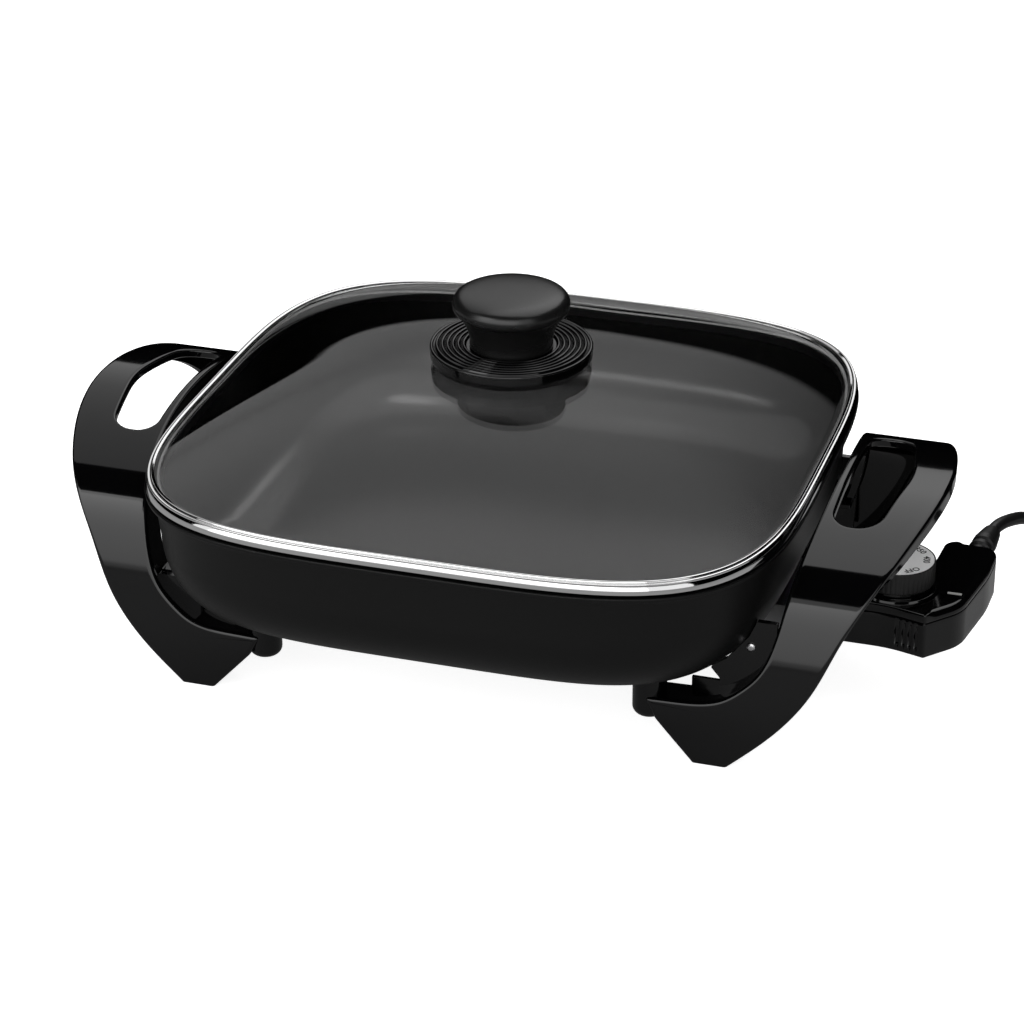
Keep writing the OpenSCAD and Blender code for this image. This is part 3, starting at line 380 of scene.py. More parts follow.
# Lead, then two turns side by side and half a turn over them, then the tail to the plug.
def makeCord():
    d, half = cord["diameter"], cord["diameter"] / 2
    turned = np.arange(0, 901, 10.0)                       # degrees, clockwise from above
    soft = lambda a, b: (lambda s: s * s * (3 - 2 * s))(np.clip((turned - a) / (b - a), 0, 1))
    radius = cord["coilRadius"] + half - d * soft(295, 360)
    roll = np.radians(60) * soft(590, 680)
    radius = np.where(turned > 590, cord["coilRadius"] + half - d * np.cos(roll), radius)
    height = cord["low"] + d * np.sin(roll) + cord["crossing"] * (soft(600, 650) - soft(725, 775))
    angle = np.pi - np.radians(turned)
    circle = np.column_stack([np.cos(angle), np.sin(angle)])
    coil = level(cord["coilCentre"] + radius[:, None] * circle, height)
    route = np.vstack([lead, coil, tail]) + [centreX, 0, 0]
    path = evenly(catmull(route, 6), step=2.0)
    length = along(path)[-1] / 1000
    piece = Shell().add(tube(path, half, 16), flatEnds).piece(
        "cord", cordJacket, body="control", replaced=("cord_lead", "cord_coil", "cord_tail"), slot="cord_jacket")
    length = round(float(length), 3)
    print("cord made, length", length)

makeCord()

# pan

pan = {
    "power": 3.9, "lowPower": 4.8, "fillet": 39.0, "floor": 5.0, "wall": 3.0, "flange": 6.0, "flangeThick": 2.0,
    "bead": 1.6, "lip": 18.0, "under": panLow[2] + 3.0, "rim": panHigh[2], "floorRings": (20, 50, 80, 98),
    "bossHigh": 3.0, "bossRadius": 7.0, "postInset": 61.5, "postSide": 91.0,
}

# Rings of [inset, height], outside and then inside: flat floor, quarter circle, rounded lip. Their power rises from
# the rim's to the floor's as 1 - sqrt(1 - (1 - rise)^2), so the corners get squarer round the fillet.
def makePan():
    under, flange = pan["under"], pan["flange"]
    inner, top = flange + pan["wall"], pan["rim"] - pan["bead"]
    low = top - pan["lip"]

    # floor and quarter circle up to the lip
    def bowl(inset, height, radius):
        steps = np.linspace(0, np.pi / 2, 22)
        arc = zip(inset + radius * (1 - np.sin(steps)), height + radius * (1 - np.cos(steps)))
        return [p for p in [(halfX - r, height) for r in pan["floorRings"]] + list(arc) if p[1] < low]

    outside = bowl(flange, under, pan["fillet"])
    inside = bowl(inner, under + pan["floor"], pan["fillet"] - pan["floor"])[::-1]
    edge = top - pan["flangeThick"]
    lip = rounded([
        (flange, low), (flange - 2.4, edge - 1.4, 3), (0.3, edge, 0.5), (0, top, 0.6), (3.3, top, 0.3),
        (4.0, pan["rim"], 0.6), (inner - 3.0, pan["rim"], 1.4), (inner, low),
    ])[1:-1]
    profile = outside + list(lip) + inside
    rise = np.clip((np.array(profile)[:, 1] - under) / pan["fillet"], 0, 1)
    power = pan["power"] + (pan["lowPower"] - pan["power"]) * (1 - np.sqrt(1 - (1 - rise) ** 2))
    shell = Shell().add(rings(profile, halfX, halfY, power), poleEnds)
    base = under - pan["bossHigh"]
    boss = rounded([(0.01, base), (pan["bossRadius"], base, 0.5), (pan["bossRadius"], under + 2)])
    for sx in (-1, 1):
        for sy in (-1, 1):
            shell.add(lathe(boss, (centreX + sx * (halfX - pan["postInset"]), sy * pan["postSide"]), 48), poleEnds)
    piece = shell.piece("panShell", panOutside, body="skillet", replaced=("pan",), slot="nonstick_coating")
    # the coating changes on the crown of the bead; after the rings come the two poles' triangles
    piece.data.materials.append(panInside)
    split, last = len(outside) + int(np.argmax(lip[:, 0] > 5.2)), len(profile)
    index = np.zeros(len(piece.data.polygons), np.int32)
    index[split * ringPoints:(last - 1) * ringPoints] = 1
    index[last * ringPoints:(last + 1) * ringPoints] = 1
    piece.data.polygons.foreach_set("material_index", index)
    print("pan made")

makePan()

# lid

lid = {
    "bulge": 2.0, "channel": 0.5, "lip": 4.0, "steel": 0.8, "ledge": 7.0, "skirt": 5.0, "glass": 3.9, "dome": 31.0,
    "fall": 2.2, "flat": 20.0, "hole": 3.1,
}

# Closed profile of [inset, height] carried round: an elliptical bulge, a groove and a bead, the lip over the glass,
# a shallow sine-shaped channel under it, a rounded inner corner and the skirt.
def makeBand():
    z, t, top = bandLow[2] + lid["skirt"], lid["steel"], bandHigh[2]
    g = z + t
    lip, ledge, seat = lid["lip"], lid["ledge"], g + lid["glass"] + 0.05
    crown = top - 1.3 - z                                    # height of the rounded face under the top bead
    rise = np.sin(np.radians(np.linspace(0, 78, 14)))
    face = np.column_stack([lid["bulge"] * (1 - np.sqrt(1 - rise ** 2)), z + crown * rise])
    dip = np.linspace(0, np.pi, 9)[1:-1]
    channel = np.column_stack([t + 0.35 + (ledge - t - 2.2) * dip / np.pi, g - 0.05 - lid["channel"] * np.sin(dip)])
    x = face[-1, 0]
    profile = np.vstack([
        rounded([(1.4, z - 0.3), (1.4, z - 0.6), (0.6, z - 0.6, 0.3), (0, z - 0.1, 0.3), face[1]])[1:-1],
        face[1:],
        rounded([
            face[-1], (x + 0.75, z + crown + 0.1, 0.1), (x + 0.45, z + crown + 0.5, 0.3), (x + 0.75, top, 0.7),
            (2.9, top, 0.4), (lip, top - 0.4, 0.3), (lip, seat, 0.1), (t + 0.15, seat, 0.4), (t + 0.15, g - 0.05, 0.1),
            channel[0],
        ])[1:-1],
        channel,
        rounded([
            channel[-1], (ledge - 1.3, g - 0.05, 0.4), (ledge, g - 0.75, 1.2), (ledge, z - lid["skirt"], 0.3),
            (ledge - t, z - lid["skirt"], 0.3), (ledge - t, z, 0.4), (1.4, z, 0.3), (1.4, z - 0.3),
        ])[1:],
    ])
    piece = Shell().add(rings(profile, bandX, bandY, pan["power"]), wrapRows=True).piece(
        "lidBand", polishedSteel, body="lid", replaced=("lid_band",), slot="bright_steel")
    # under the glass the band takes a rougher, much darker copy of its steel, whose dark colour is painted shade for
    # the channel and ledge there; only the rounded corner stays polished
    piece.data.materials.append(dullSteel)
    corner = (profile[:, 0] > ledge - 1.4) & (profile[:, 1] > g - 1.0)
    under = (profile[:, 0] > t + 0.1) & (profile[:, 1] < g + 0.2) & ~corner
    piece.data.polygons.foreach_set("material_index", np.repeat(under.astype(np.int32), ringPoints))

# Rings go from round at the knob to the pan's outline at the lip, falling as the 2.2 power of their place.
def makeLidGlass():
    inset, flat = lid["lip"] + 0.4, lid["flat"]

    # one side of the glass, whose top is at z
    def face(z):
        rows = [level(squircle(r, r, 2), z) for r in (lid["hole"], 6, 12)]
        for t in np.linspace(0, 1, 40):
            a, b = flat + (bandX - inset - flat) * t, flat + (bandY - inset - flat) * t
            rows.append(level(squircle(a, b, 2 + (pan["power"] - 2) * t), z - lid["dome"] * t ** lid["fall"]))
        for d in (inset - 0.5, 1.6, 1.2):
            rows.append(level(squircle(bandX - d, bandY - d, pan["power"]), z - lid["dome"]))
        return np.array(rows)

    top = nodeBox("lid_glass")[1][2]
    grid = np.concatenate([face(top), face(top - lid["glass"])[::-1]]) + [centreX, 0, 0]
    Shell().add(grid, wrapRows=True, flip=True).piece(
        "lidGlass", clearGlass, body="lid", replaced=("lid_glass",), slot="lid_glass")

makeBand()
makeLidGlass()
print("lid made")

knob = {
    "base": 39.0, "neck": 20.0, "cap": 28.0, "baseHigh": 8.6, "rim": 1.6, "ridges": 6, "ridgeHigh": 1.3, "grip": 28.0,
    "around": 160,
}

# Both pieces are profiles of [radius, height] turned about the knob's axis. The base's ridges are cosines to the
# power 0.8; the grip's side is a smooth curve through its points.
def makeKnob():
    base, neck, high = knob["base"], knob["neck"], knob["baseHigh"]
    plate = high - knob["rim"]
    step = (base - 3.6 - neck) / knob["ridges"]
    s = np.linspace(-1, 1, 9)
    ridge = np.column_stack([-s * step * 0.5, plate + knob["ridgeHigh"] * np.maximum(np.cos(s * np.pi / 2), 0) ** 0.8])
    ridges = [ridge + [neck + 1.4 + step * (k + 0.5), 0] for k in range(knob["ridges"] - 1, -1, -1)]
    outer = rounded([
        (3.1, 0), (20, 0, 0.4), (20, plate - 2, 0.5), (base - 4, plate - 2, 0.5), (base - 4, -0.4, 0.4),
        (base - 1.6, -0.4, 0.6), (base, 2.6, 2.0), (base, high, 0.9), (base - 1.9, plate + 0.1, 0.3),
        (base - 2.2, plate),
    ], steps=6)
    profile = np.vstack([outer, *ridges, [(neck - 1, plate), (3.1, plate)]]) + [0, nodeBox("knob_gasket")[1][2]]
    Shell().add(lathe(profile, (centreX, 0), knob["around"]), wrapRows=True).piece(
        "knobBase", glossBlack, body="lid", replaced=("knob_base",), slot="black_phenolic")
    g, n, c = knob["grip"], neck, knob["cap"]
    waist = catmull([
        (n, 0.8), (n, 5), (n + 1.4, 10), (c - 3.4, g - 12), (c - 0.7, g - 9.3), (c, g - 7), (c - 0.25, g - 5),
        (c - 1.5, g - 2.9), (c - 4, g - 1.45), (c - 9, g - 0.6), (c - 18, g - 0.12), (0.6, g),
    ], 6)
    profile = np.vstack([[(0.01, 0), (n - 0.8, 0), (n - 0.1, 0.35)], waist]) + [0, nodeBox("knob_grip")[0][2]]
    Shell().add(lathe(profile, (centreX, 0), knob["around"]), poleEnds).piece(
        "knobGrip", satinBlack, body="lid", replaced=("knob_grip",), slot="satin_black")
    print("knob made")

makeKnob()

# handles

handle = {
    "half": 94.4, "spring": 60.0, "high": 110.5, "power": 2.12, "depth": 17.0, "crown": 8.0,
    "wall": 3.2, "edge": 1.7, "rim": 1.6, "collar": 4.5, "columns": 18, "patchTo": 62.0, "step": 1.6,
}
legCurve = [(102, 0), (101.3, 15), (99.7, 30), (97.2, 45), (93.5, 60), (90.3, 70), (85.9, 80)]  # y, z
outerEdge = [(0, -21.5), (20, -0.5), (41, 15), (66, 26.5), (89, 39.5), (103, 50.2), (110.5, 57.9)]  # z, x past the pan
wingEdge = [(0, -38.5, 0), (19.3, -56.5, 5), (29.4, -62, 1.2), (29.7, -49.5, 0)]
innerEdge = [
    (29.7, -49.5), (30.5, -36.5), (33.2, -26.5), (39.5, -17.5), (48, -9.8), (60, -4.7), (80, -0.5), (101, 4),
    (110.5, 6.5),
]
holeCorners = [(11, -47.5, 9), (32, -47.5, 12), (39.5, 0, 70), (32, 47.5, 12), (11, 47.5, 9)]
# heights on the outer edge that rows from these places on the inner edge run to: [inner x, z, outer z]
rowTies = np.array([
    (-38.5, 0, 0), (-56.5, 19.3, 13), (-62, 29.4, 21), (-49.5, 29.7, 25), (-36.5, 30.5, 29.5), (-26.5, 33.2, 34),
    (-17.5, 39.5, 41), (-9.8, 48, 49), (-4.7, 60, 60.5), (-0.5, 80, 80), (4, 101, 101), (6.5, 110.5, 110.5),
])

# Natural cubic spline by chord length: bending is continuous, so reflections run smoothly.
def spline(points, count):
    p = np.array(points, float)
    t = along(p)
    h, i = np.diff(t), np.arange(1, len(p) - 1)
    system, right = np.eye(len(p)), np.zeros_like(p)
    system[i, i - 1], system[i, i], system[i, i + 1] = h[:-1], 2 * (h[:-1] + h[1:]), h[1:]
    right[1:-1] = 6 * ((p[2:] - p[1:-1]) / h[1:, None] - (p[1:-1] - p[:-2]) / h[:-1, None])
    bend = np.linalg.solve(system, right)
    at = np.linspace(0, t[-1], count)
    k = np.clip(np.searchsorted(t, at, side="right") - 1, 0, len(h) - 1)
    a, b, g = (at - t[k])[:, None], (t[k + 1] - at)[:, None], h[k][:, None]
    curved = (bend[k] * b ** 3 + bend[k + 1] * a ** 3) / (6 * g)
    return curved + (p[k] / g - bend[k] * g / 6) * b + (p[k + 1] / g - bend[k + 1] * g / 6) * a

# Outer side curve of half the arch, foot to crown, then the way its walls run inwards, by arc length.
def archSide():
    a = np.radians([40, 50, 60, 70, 80, 90])
    crown = np.column_stack([
        handle["half"] * np.cos(a) ** (2 / handle["power"]),
        handle["spring"] + (handle["high"] - handle["spring"]) * np.sin(a) ** (2 / handle["power"]),
    ])
    crown[-1, 0] = 0
    half = np.vstack([legCurve, crown])
    whole = spline(np.vstack([half, (half * [-1, 1])[:-1][::-1]]), 2401)
    side = whole[:1201]
    gone = along(side)
    tilt = np.arctan2(np.gradient(-side[:, 0]), np.gradient(side[:, 1]))
    inward = np.column_stack([-handle["depth"] * np.cos(tilt), -handle["crown"] * np.sin(tilt) ** 2])
    return side, gone, inward

# Edge of the skin in its own plane: x, and arc length up the arch; with the direction square to it.
def skinEdge(points, gone, side, sign, step):
    edge = np.column_stack([points[:, 1], np.interp(points[:, 0], side[:, 1], gone)])
    run = along(edge)
    turn = np.concatenate([[0], np.abs(np.diff(np.unwrap(np.arctan2(*np.gradient(edge, axis=0).T))))])
    want = along(np.column_stack([run, np.cumsum(turn) * 6]))         # closer rows where the edge bends
    at = np.interp(np.linspace(0, want[-1], int(want[-1] / step)), want, run)
    out = np.column_stack([np.interp(at, run, edge[:, k]) for k in (0, 1)])
    fine = np.linspace(0, run[-1], int(run[-1] * 4))
    ahead = np.column_stack([np.gradient(np.interp(fine, run, edge[:, k])) for k in (0, 1)])
    ahead /= np.linalg.norm(ahead, axis=1)[:, None]
    wide = 29                                                          # quarter millimetres over which corners turn
    padded = np.vstack([np.repeat(ahead[:1], wide // 2, 0), ahead, np.repeat([[0, 1.0]], wide // 2, 0)])
    ahead = np.column_stack([np.convolve(padded[:, k], np.ones(wide) / wide, "valid") for k in (0, 1)])
    ahead = np.column_stack([np.interp(at, fine, ahead[:, k]) for k in (0, 1)])
    square = np.column_stack([ahead[:, 1], -ahead[:, 0]]) * sign
    share = np.clip(out[:, 1:] / 6, 0, 1)                              # level at the foot, square from 6 mm up
    square = square * share + np.array([[sign, 0.0]]) * (1 - share)
    return out, square / np.linalg.norm(square, axis=1)[:, None], at

# One arched skin with legs, as a grid: rows run along the edges of its outer face from foot to foot, columns round its
# section (outer face, edges, inner face), and every point lies inwards of the arch's side curve by its depth.
def makeHandle(name, side, replacedNode):
    wall, r, cols = handle["wall"], handle["edge"], handle["columns"]
    curve, gone, inward = archSide()

    # arc length up the arch at a height
    def upTo(z):
        return np.interp(z, curve[:, 1], gone)

    # edge as a spline over the whole arch, so that it crosses the crown square
    def wholeSpline(points):
        q = np.array([(upTo(z), x) for z, x in points])
        back = q[:-1][::-1] * [-1, 1] + [2 * gone[-1], 0]
        out = spline(np.vstack([q, back]), 1601)[:801]
        return np.column_stack([np.interp(out[:, 0], gone, curve[:, 1]), out[:, 1]])

    wing = rounded(wingEdge, 8, 0)
    inner = np.vstack([wing[:-1], wholeSpline(innerEdge)])
    outer = wholeSpline(outerEdge)
    left, leftIn, leftAt = skinEdge(inner, gone, curve, 1, handle["step"])
    ends = [np.hypot(left[:, 0] - x, left[:, 1] - upTo(z)).argmin() for x, z in rowTies[:, :2]]
    rightS = np.interp(leftAt, leftAt[ends], upTo(rowTies[:, 2]))
    rightX = np.interp(rightS, upTo(outer[:, 0]), outer[:, 1])
    right = np.column_stack([rightX, rightS])
    slope = np.gradient(rightX, rightS) * np.clip(rightS / 6, 0, 1)
    rightIn = np.column_stack([-np.ones_like(slope), slope])
    rightIn /= np.linalg.norm(rightIn, axis=1)[:, None]

    arc = np.radians(np.linspace(0, 90, 6))
    # each point of the section: share of the way across, distance in from the nearer edge, depth (-1 is the full
    # depth), distance back from full depth
    section = [(0, 0, -1, 0), (0, 0, -1, 2.0), (0, 0, r * 2, 0)]
    section += [(0, r * (1 - math.cos(t)), r * (1 - math.sin(t)), 0) for t in arc]
    first = len(section)
    section += [(k / (cols - 1), r * 1.5, 0, 0) for k in range(cols)]
    section += [(1, r * (1 - math.sin(t)), r * (1 - math.cos(t)), 0) for t in arc]
    section += [(1, 0, r * 2, 0), (1, 0, -1, 2.0), (1, 0, -1, 0)]
    section += [(1, wall, -1, 0), (1, wall, -1, 2.0), (1, wall, wall + 0.8, 0)]
    second = len(section)
    section += [(1 - k / (cols - 1), wall + 0.6, wall, 0) for k in range(cols)]
    section += [(0, wall, wall + 0.8, 0), (0, wall, -1, 2.0), (0, wall, -1, 0)]
    ring = len(section)
    place, offset, depth, back = np.array(section, float).T
    fromLeft = left[:, None] + leftIn[:, None] * offset[None, :, None]
    fromRight = right[:, None] + rightIn[:, None] * offset[None, :, None]
    skin = fromLeft * (1 - place)[None, :, None] + fromRight * place[None, :, None]
    s = np.clip(skin[:, :, 1], 0, gone[-1])
    at = np.stack([np.interp(s, gone, curve[:, k]) for k in (0, 1)], -1)
    way = np.stack([np.interp(s, gone, inward[:, k]) for k in (0, 1)], -1)
    thick = np.linalg.norm(way, axis=-1)
    share = np.where(depth[None, :] < 0, 1 - back[None, :] / thick, depth[None, :] / thick)
    yz = at + share[:, :, None] * way
    grid = np.stack([skin[:, :, 0], -yz[:, :, 0], np.maximum(yz[:, :, 1], 0)], -1)
    grid[-1, :, 1] = 0
    grid = np.concatenate([grid, (grid[:-1] * [1, -1, 1])[::-1]])
    rows = len(grid)

    # hand hole: the skin between two rows is replaced by loops that run from its edge to the hole's collar
    y = grid[:, first, 1]
    j0 = int(np.argmin(np.abs(y[:rows // 2] + handle["patchTo"])))
    j1 = rows - 1 - j0

    # grid places round the patch, one after another
    def border(start, turned):
        k0, k1 = (start, start + cols - 1) if not turned else (start + cols - 1, start)
        step = 1 if k1 > k0 else -1
        loop = [(j0, k) for k in range(k0, k1, step)] + [(j, k1) for j in range(j0, j1)]
        loop += [(j1, k) for k in range(k1, k0, -step)] + [(j, k0) for j in range(j1, j0, -1)]
        return np.array(loop)

    topLoop, underLoop = border(first, False), border(second, True)
    full = np.vstack([curve * [-1, 1], curve[:-1][::-1]])
    fullIn = np.vstack([inward * [-1, 1], inward[:-1][::-1]])
    under = full + fullIn * (wall / np.linalg.norm(fullIn, axis=1))[:, None]
    zTop = lambda v: np.interp(v, full[:, 0], full[:, 1])
    zUnder = lambda v: np.interp(v, under[:, 0], under[:, 1])
    hole = evenly(roundedLoop(holeCorners, 14), count=1200, closed=True)
    middle = np.array([24.0, 0])
    angle = lambda p: np.arctan2(p[:, 1] / 47.5, (p[:, 0] - middle[0]) / 14)
    topEdge = grid[topLoop[:, 0], topLoop[:, 1]]
    order = np.argsort(angle(hole))
    at = angle(topEdge), angle(hole)[order]
    rim = np.stack([np.interp(*at, hole[order][:, c], period=2 * np.pi) for c in (0, 1)], -1)
    away = offsetLoop(rim, 1) - rim
    away *= np.sign(((rim - middle) * away).sum(1))[:, None]
    lip = handle["rim"]
    near = rim + away * (lip * 1.5)
    loops = []
    for v in (0.3, 0.55, 0.75, 0.9, 1.0):
        p = topEdge[:, :2] * (1 - v) + near * v
        loops.append(level(p, zTop(p[:, 1])))
    for t in np.radians(np.linspace(0, 90, 6)):
        p = rim + away * lip * (1 - math.sin(t))
        loops.append(level(p, zTop(p[:, 1]) - lip * (1 - math.cos(t))))
    bottom = zTop(rim[:, 1]) - handle["collar"]
    far = rim + away * wall
    loops += [level(rim, bottom + 1.2), level(rim, bottom + 0.5)]
    loops += [level(rim + away * 0.5, bottom), level(rim + away * (wall - 0.4), bottom)]
    loops += [level(far, bottom + 0.4), level(far, zUnder(far[:, 1]) - 0.3)]
    underEdge = grid[underLoop[:, 0], underLoop[:, 1]]
    for v in (0.08, 0.5):
        p = far * (1 - v) + underEdge[:, :2] * v
        loops.append(level(p, zUnder(p[:, 1])))
    loops = np.array(loops)

    quads = gridQuads(rows, ring, False, True).reshape(rows - 1, ring, 4)
    keep = np.ones((rows - 1, ring), bool)
    keep[j0:j1, first:first + cols - 1] = False
    keep[j0:j1, second:second + cols - 1] = False
    count, m = rows * ring, len(topLoop)
    index = lambda loop: loop[:, 0] * ring + loop[:, 1]
    firstLoop, lastLoop = count + np.arange(m), count + (len(loops) - 1) * m + np.arange(m)
    join = lambda a, b: np.stack([a, np.roll(a, -1), np.roll(b, -1), b], -1)
    parts = Shell()
    parts.points, parts.count = [grid.reshape(-1, 3), loops.reshape(-1, 3)], count + len(loops) * m
    parts.faces = [
        quads[keep], gridQuads(len(loops), m, False, True, count),
        join(index(topLoop), firstLoop), join(lastLoop, index(underLoop)),
        np.arange(ring)[::-1][None, :], ((rows - 1) * ring + np.arange(ring))[None, :],
    ]
    addFeet(parts, feet["bracketTop"][side])
    points = np.concatenate(parts.points) * [side, 1, 1] + [centreX + side * halfX, 0, 0]
    faces = [f[:, ::-1] for f in parts.faces] if side < 0 else parts.faces
    addPiece(name, points, faces, glossBlack, body="skillet", replaced=(replacedNode,), slot="black_phenolic", sharp=35)

# Upright prism over an outline in x and y, with its top and bottom edges broken.
def prism(outline, z0, z1, edge=0.4):
    small = offsetLoop(outline, -edge)
    return np.array([level(small, z0), level(outline, z0 + edge), level(outline, z1 - edge), level(small, z1)])

# x counts from the pan's side, outwards is positive; y and z are the distance from the middle and the height.
feet = {
    # x0, x1, y0, y1, z0, z1, radius of the upright corners, broken edge: sole, shelf, its low back wall, tab
    "blocks": [
        (-37, -23, 84, 100.3, 0.3, 3.2, 0.8, 0.4), (-61.5, -25.5, 82.2, 97, 26, 28.4, 0.8, 0.4),
        (-43.5, -23.9, 82, 83.6, 27, 35, 0.3, 0.3), (-17, -4, 76, 87, 49, 51.6, 0.8, 0.4),
    ],
    "bracket": [(-28.5, 27, 0.5), (-4.5, 27, 0.5), (-2.6, None, 0.5), (-12, 72, 0.5), (-15.5, 64, 0.5),
                (-25.5, 51, 1.5), (-33.3, 45.5, 1), (-28.5, 40, 3)],
    "bracketTop": {1: 72, -1: 51}, "bracketY": (87.6, 90.6), "screwX": 142.0, "screwZ": 58.8, "tab": (-17, 80),
}

# Blocks, the post, the screw tab's disc and the bracket, whose corners above top are left out
def addFeet(parts, top):
    bracket = [(x, top if z is None else z, r) for x, z, r in feet["bracket"]]
    bracket = roundedLoop([corner for corner in bracket if corner[1] <= top], 4)
    post = lathe(rounded([(0.01, 17), (8, 17, 4), (8, 40)], 8), count=48)
    disc = lathe([(0.01, 49), (6.6, 49), (7, 49.4), (7, 51.2), (6.6, 51.6), (0.01, 51.6)], count=48)
    for s in (-1, 1):
        for x0, x1, y0, y1, z0, z1, r, edge in feet["blocks"]:
            y0, y1 = sorted((s * y0, s * y1))
            outline = roundedLoop([(x0, y0, r), (x1, y0, r), (x1, y1, r), (x0, y1, r)], 4)
            parts.add(prism(outline, z0, z1, edge), flatEnds)
        upright = [level(bracket, y)[:, [0, 2, 1]] for y in sorted(s * y for y in feet["bracketY"])[::-1]]
        parts.add(np.array(upright), flatEnds)
        parts.add(post + [-pan["postInset"], s * pan["postSide"], 0], ("pole", "flat"))
        parts.add(disc + [feet["tab"][0], s * feet["tab"][1], 0], poleEnds)

# Domed screw heads on the right handle's brackets
def makeBracketScrews():
    shell = Shell()
    head = lathe(rounded([(0.01, 0), (2.2, 0, 0.1), (2.1, 0.7, 0.4), (1.2, 1.25, 0.6), (0.01, 1.4)], 4), count=32)
    for s in (-1, 1):
        middle = [centreX + feet["screwX"], s * feet["bracketY"][1], feet["screwZ"]]
        shell.add(head[:, :, [0, 2, 1]] * [1, s, 1] + middle, poleEnds, flip=s > 0)
    shell.piece("bracketScrews", platedSteel, body="skillet", slot="plated_steel")

makeBracketScrews()
makeHandle("handleRight", 1, "handle_right")
makeHandle("handleLeft", -1, "handle_left")
print("handles made")

# control

control = {
    "cover": 4.6, "edge": 0.8, "lobeEdge": 3.4, "lobeFrom": 210.5, "bottom": 1.0, "grooves": 4, "groove": 0.7,
    "grooveFrom": 195.5, "groovePitch": 3.2,
}
housing = [
    (168, -20.5, 2), (192, -20.5, 60), (210, -25.5, 1.4), (224.5, -9, 22), (230.5, 28, 90), (231, 54, 7),
    (205.5, 54, 7), (204, 28, 12), (192, 20.5, 10), (168, 20.5, 2),
]

# Both shells are the housing's outline moved inwards ring by ring: quarter circles round their edges, and steps of a
# tenth or so at the seam between them. The cover's edge widens smoothly, as 3s^2 - 2s^3, along the right lobe.
def makeControl():
    outline = evenly(roundedLoop(housing, 12), step=0.4, closed=True)
    x, y = outline[:, 0], outline[:, 1]
    bottom, top = nodeBox("control_base")[0][2], nodeBox("control_cover")[1][2]
    seam = top - control["cover"]
    b = control["bottom"]
    t = np.radians(np.linspace(0, 90, 7))
    # share of the wide edge at each point of the outline: none on the front face, all of it along the right lobe
    lobe = np.clip((x - control["lobeFrom"]) / 4, 0, 1)
    edge = control["edge"] + (control["lobeEdge"] - control["edge"]) * lobe ** 2 * (3 - 2 * lobe)
    # upright grooves in the front face
    turns = (x - control["grooveFrom"]) / control["groovePitch"]
    groove = ((turns > 0) & (turns < control["grooves"]) & (y < -18) & (turns % 1 < 0.5)) * control["groove"]
    at = outline + [centreX, 0]
    sunk = lambda d: offsetLoop(at, -np.broadcast_to(d, len(x))[:, None])
    low, high, join = bottom + 4.5, seam - 2.5, seam + 0.2
    wall = [(0, low - 0.3), (groove, low + 0.2), (groove, (low + high) / 2), (groove, high), (0, high + 0.6)]
    base = [(b + 2, bottom), (b, bottom)]
    base += [(b * (1 - math.sin(v)), bottom + b * (1 - math.cos(v))) for v in t[2::2]] + wall
    base += [(0, seam - 0.35), (0.1, seam - 0.15), (0.3, seam - 0.05), (1.4, seam - 0.05)]
    cover = [(1.4, join), (0.3, join), (0.1, join + 0.1), (0, join + 0.3)]
    cover += [(edge * (1 - math.cos(v)), top - edge * (1 - math.sin(v))) for v in t]
    cover += [(edge + 0.4, top), (edge + 1.0, top)]
    for name, replacedNode, rows in (("controlBase", "control_base", base), ("controlCover", "control_cover", cover)):
        Shell().add(np.array([level(sunk(d), z) for d, z in rows]), flatEnds).piece(
            name, glossBlack, body="control", replaced=(replacedNode,), slot="black_phenolic", sharp=50)

makeControl()

dialSize = {
    "radius": 18.0, "flutes": 48, "fluteDepth": 0.22, "plate": 17.2, "sunk": 0.8, "numbers": 13.4, "numberSize": 4.6,
    "marks": {"OFF": 310, "150": 208, "200": 170, "250": 132, "300": 92, "350": 50, "400": 8},      # degrees
}

# Points in millimetres and faces of flat lettering about its own middle
def letters(words):
    curve = bpy.data.curves.new("numeral", "FONT")
    curve.body, curve.size, curve.align_x, curve.align_y = words, dialSize["numberSize"] / 1000, "CENTER", "CENTER"
    curve.extrude, curve.resolution_u, curve.offset = 0.00004, 3, 0.00008
    text = bpy.data.objects.new("numeral", curve)
    data = bpy.data.meshes.new_from_object(text)
    work = bmesh.new()
    work.from_mesh(data)
    bmesh.ops.remove_doubles(work, verts=work.verts, dist=1e-7)
    work.to_mesh(data)
    work.free()
    points = np.empty(len(data.vertices) * 3, np.float32)
    data.vertices.foreach_get("co", points)
    faces = [np.array([face.vertices[:]]) for face in data.polygons]
    bpy.data.objects.remove(text)
    bpy.data.curves.remove(curve)
    bpy.data.meshes.remove(data)
    return points.reshape(-1, 3).astype(float) * 1000, faces

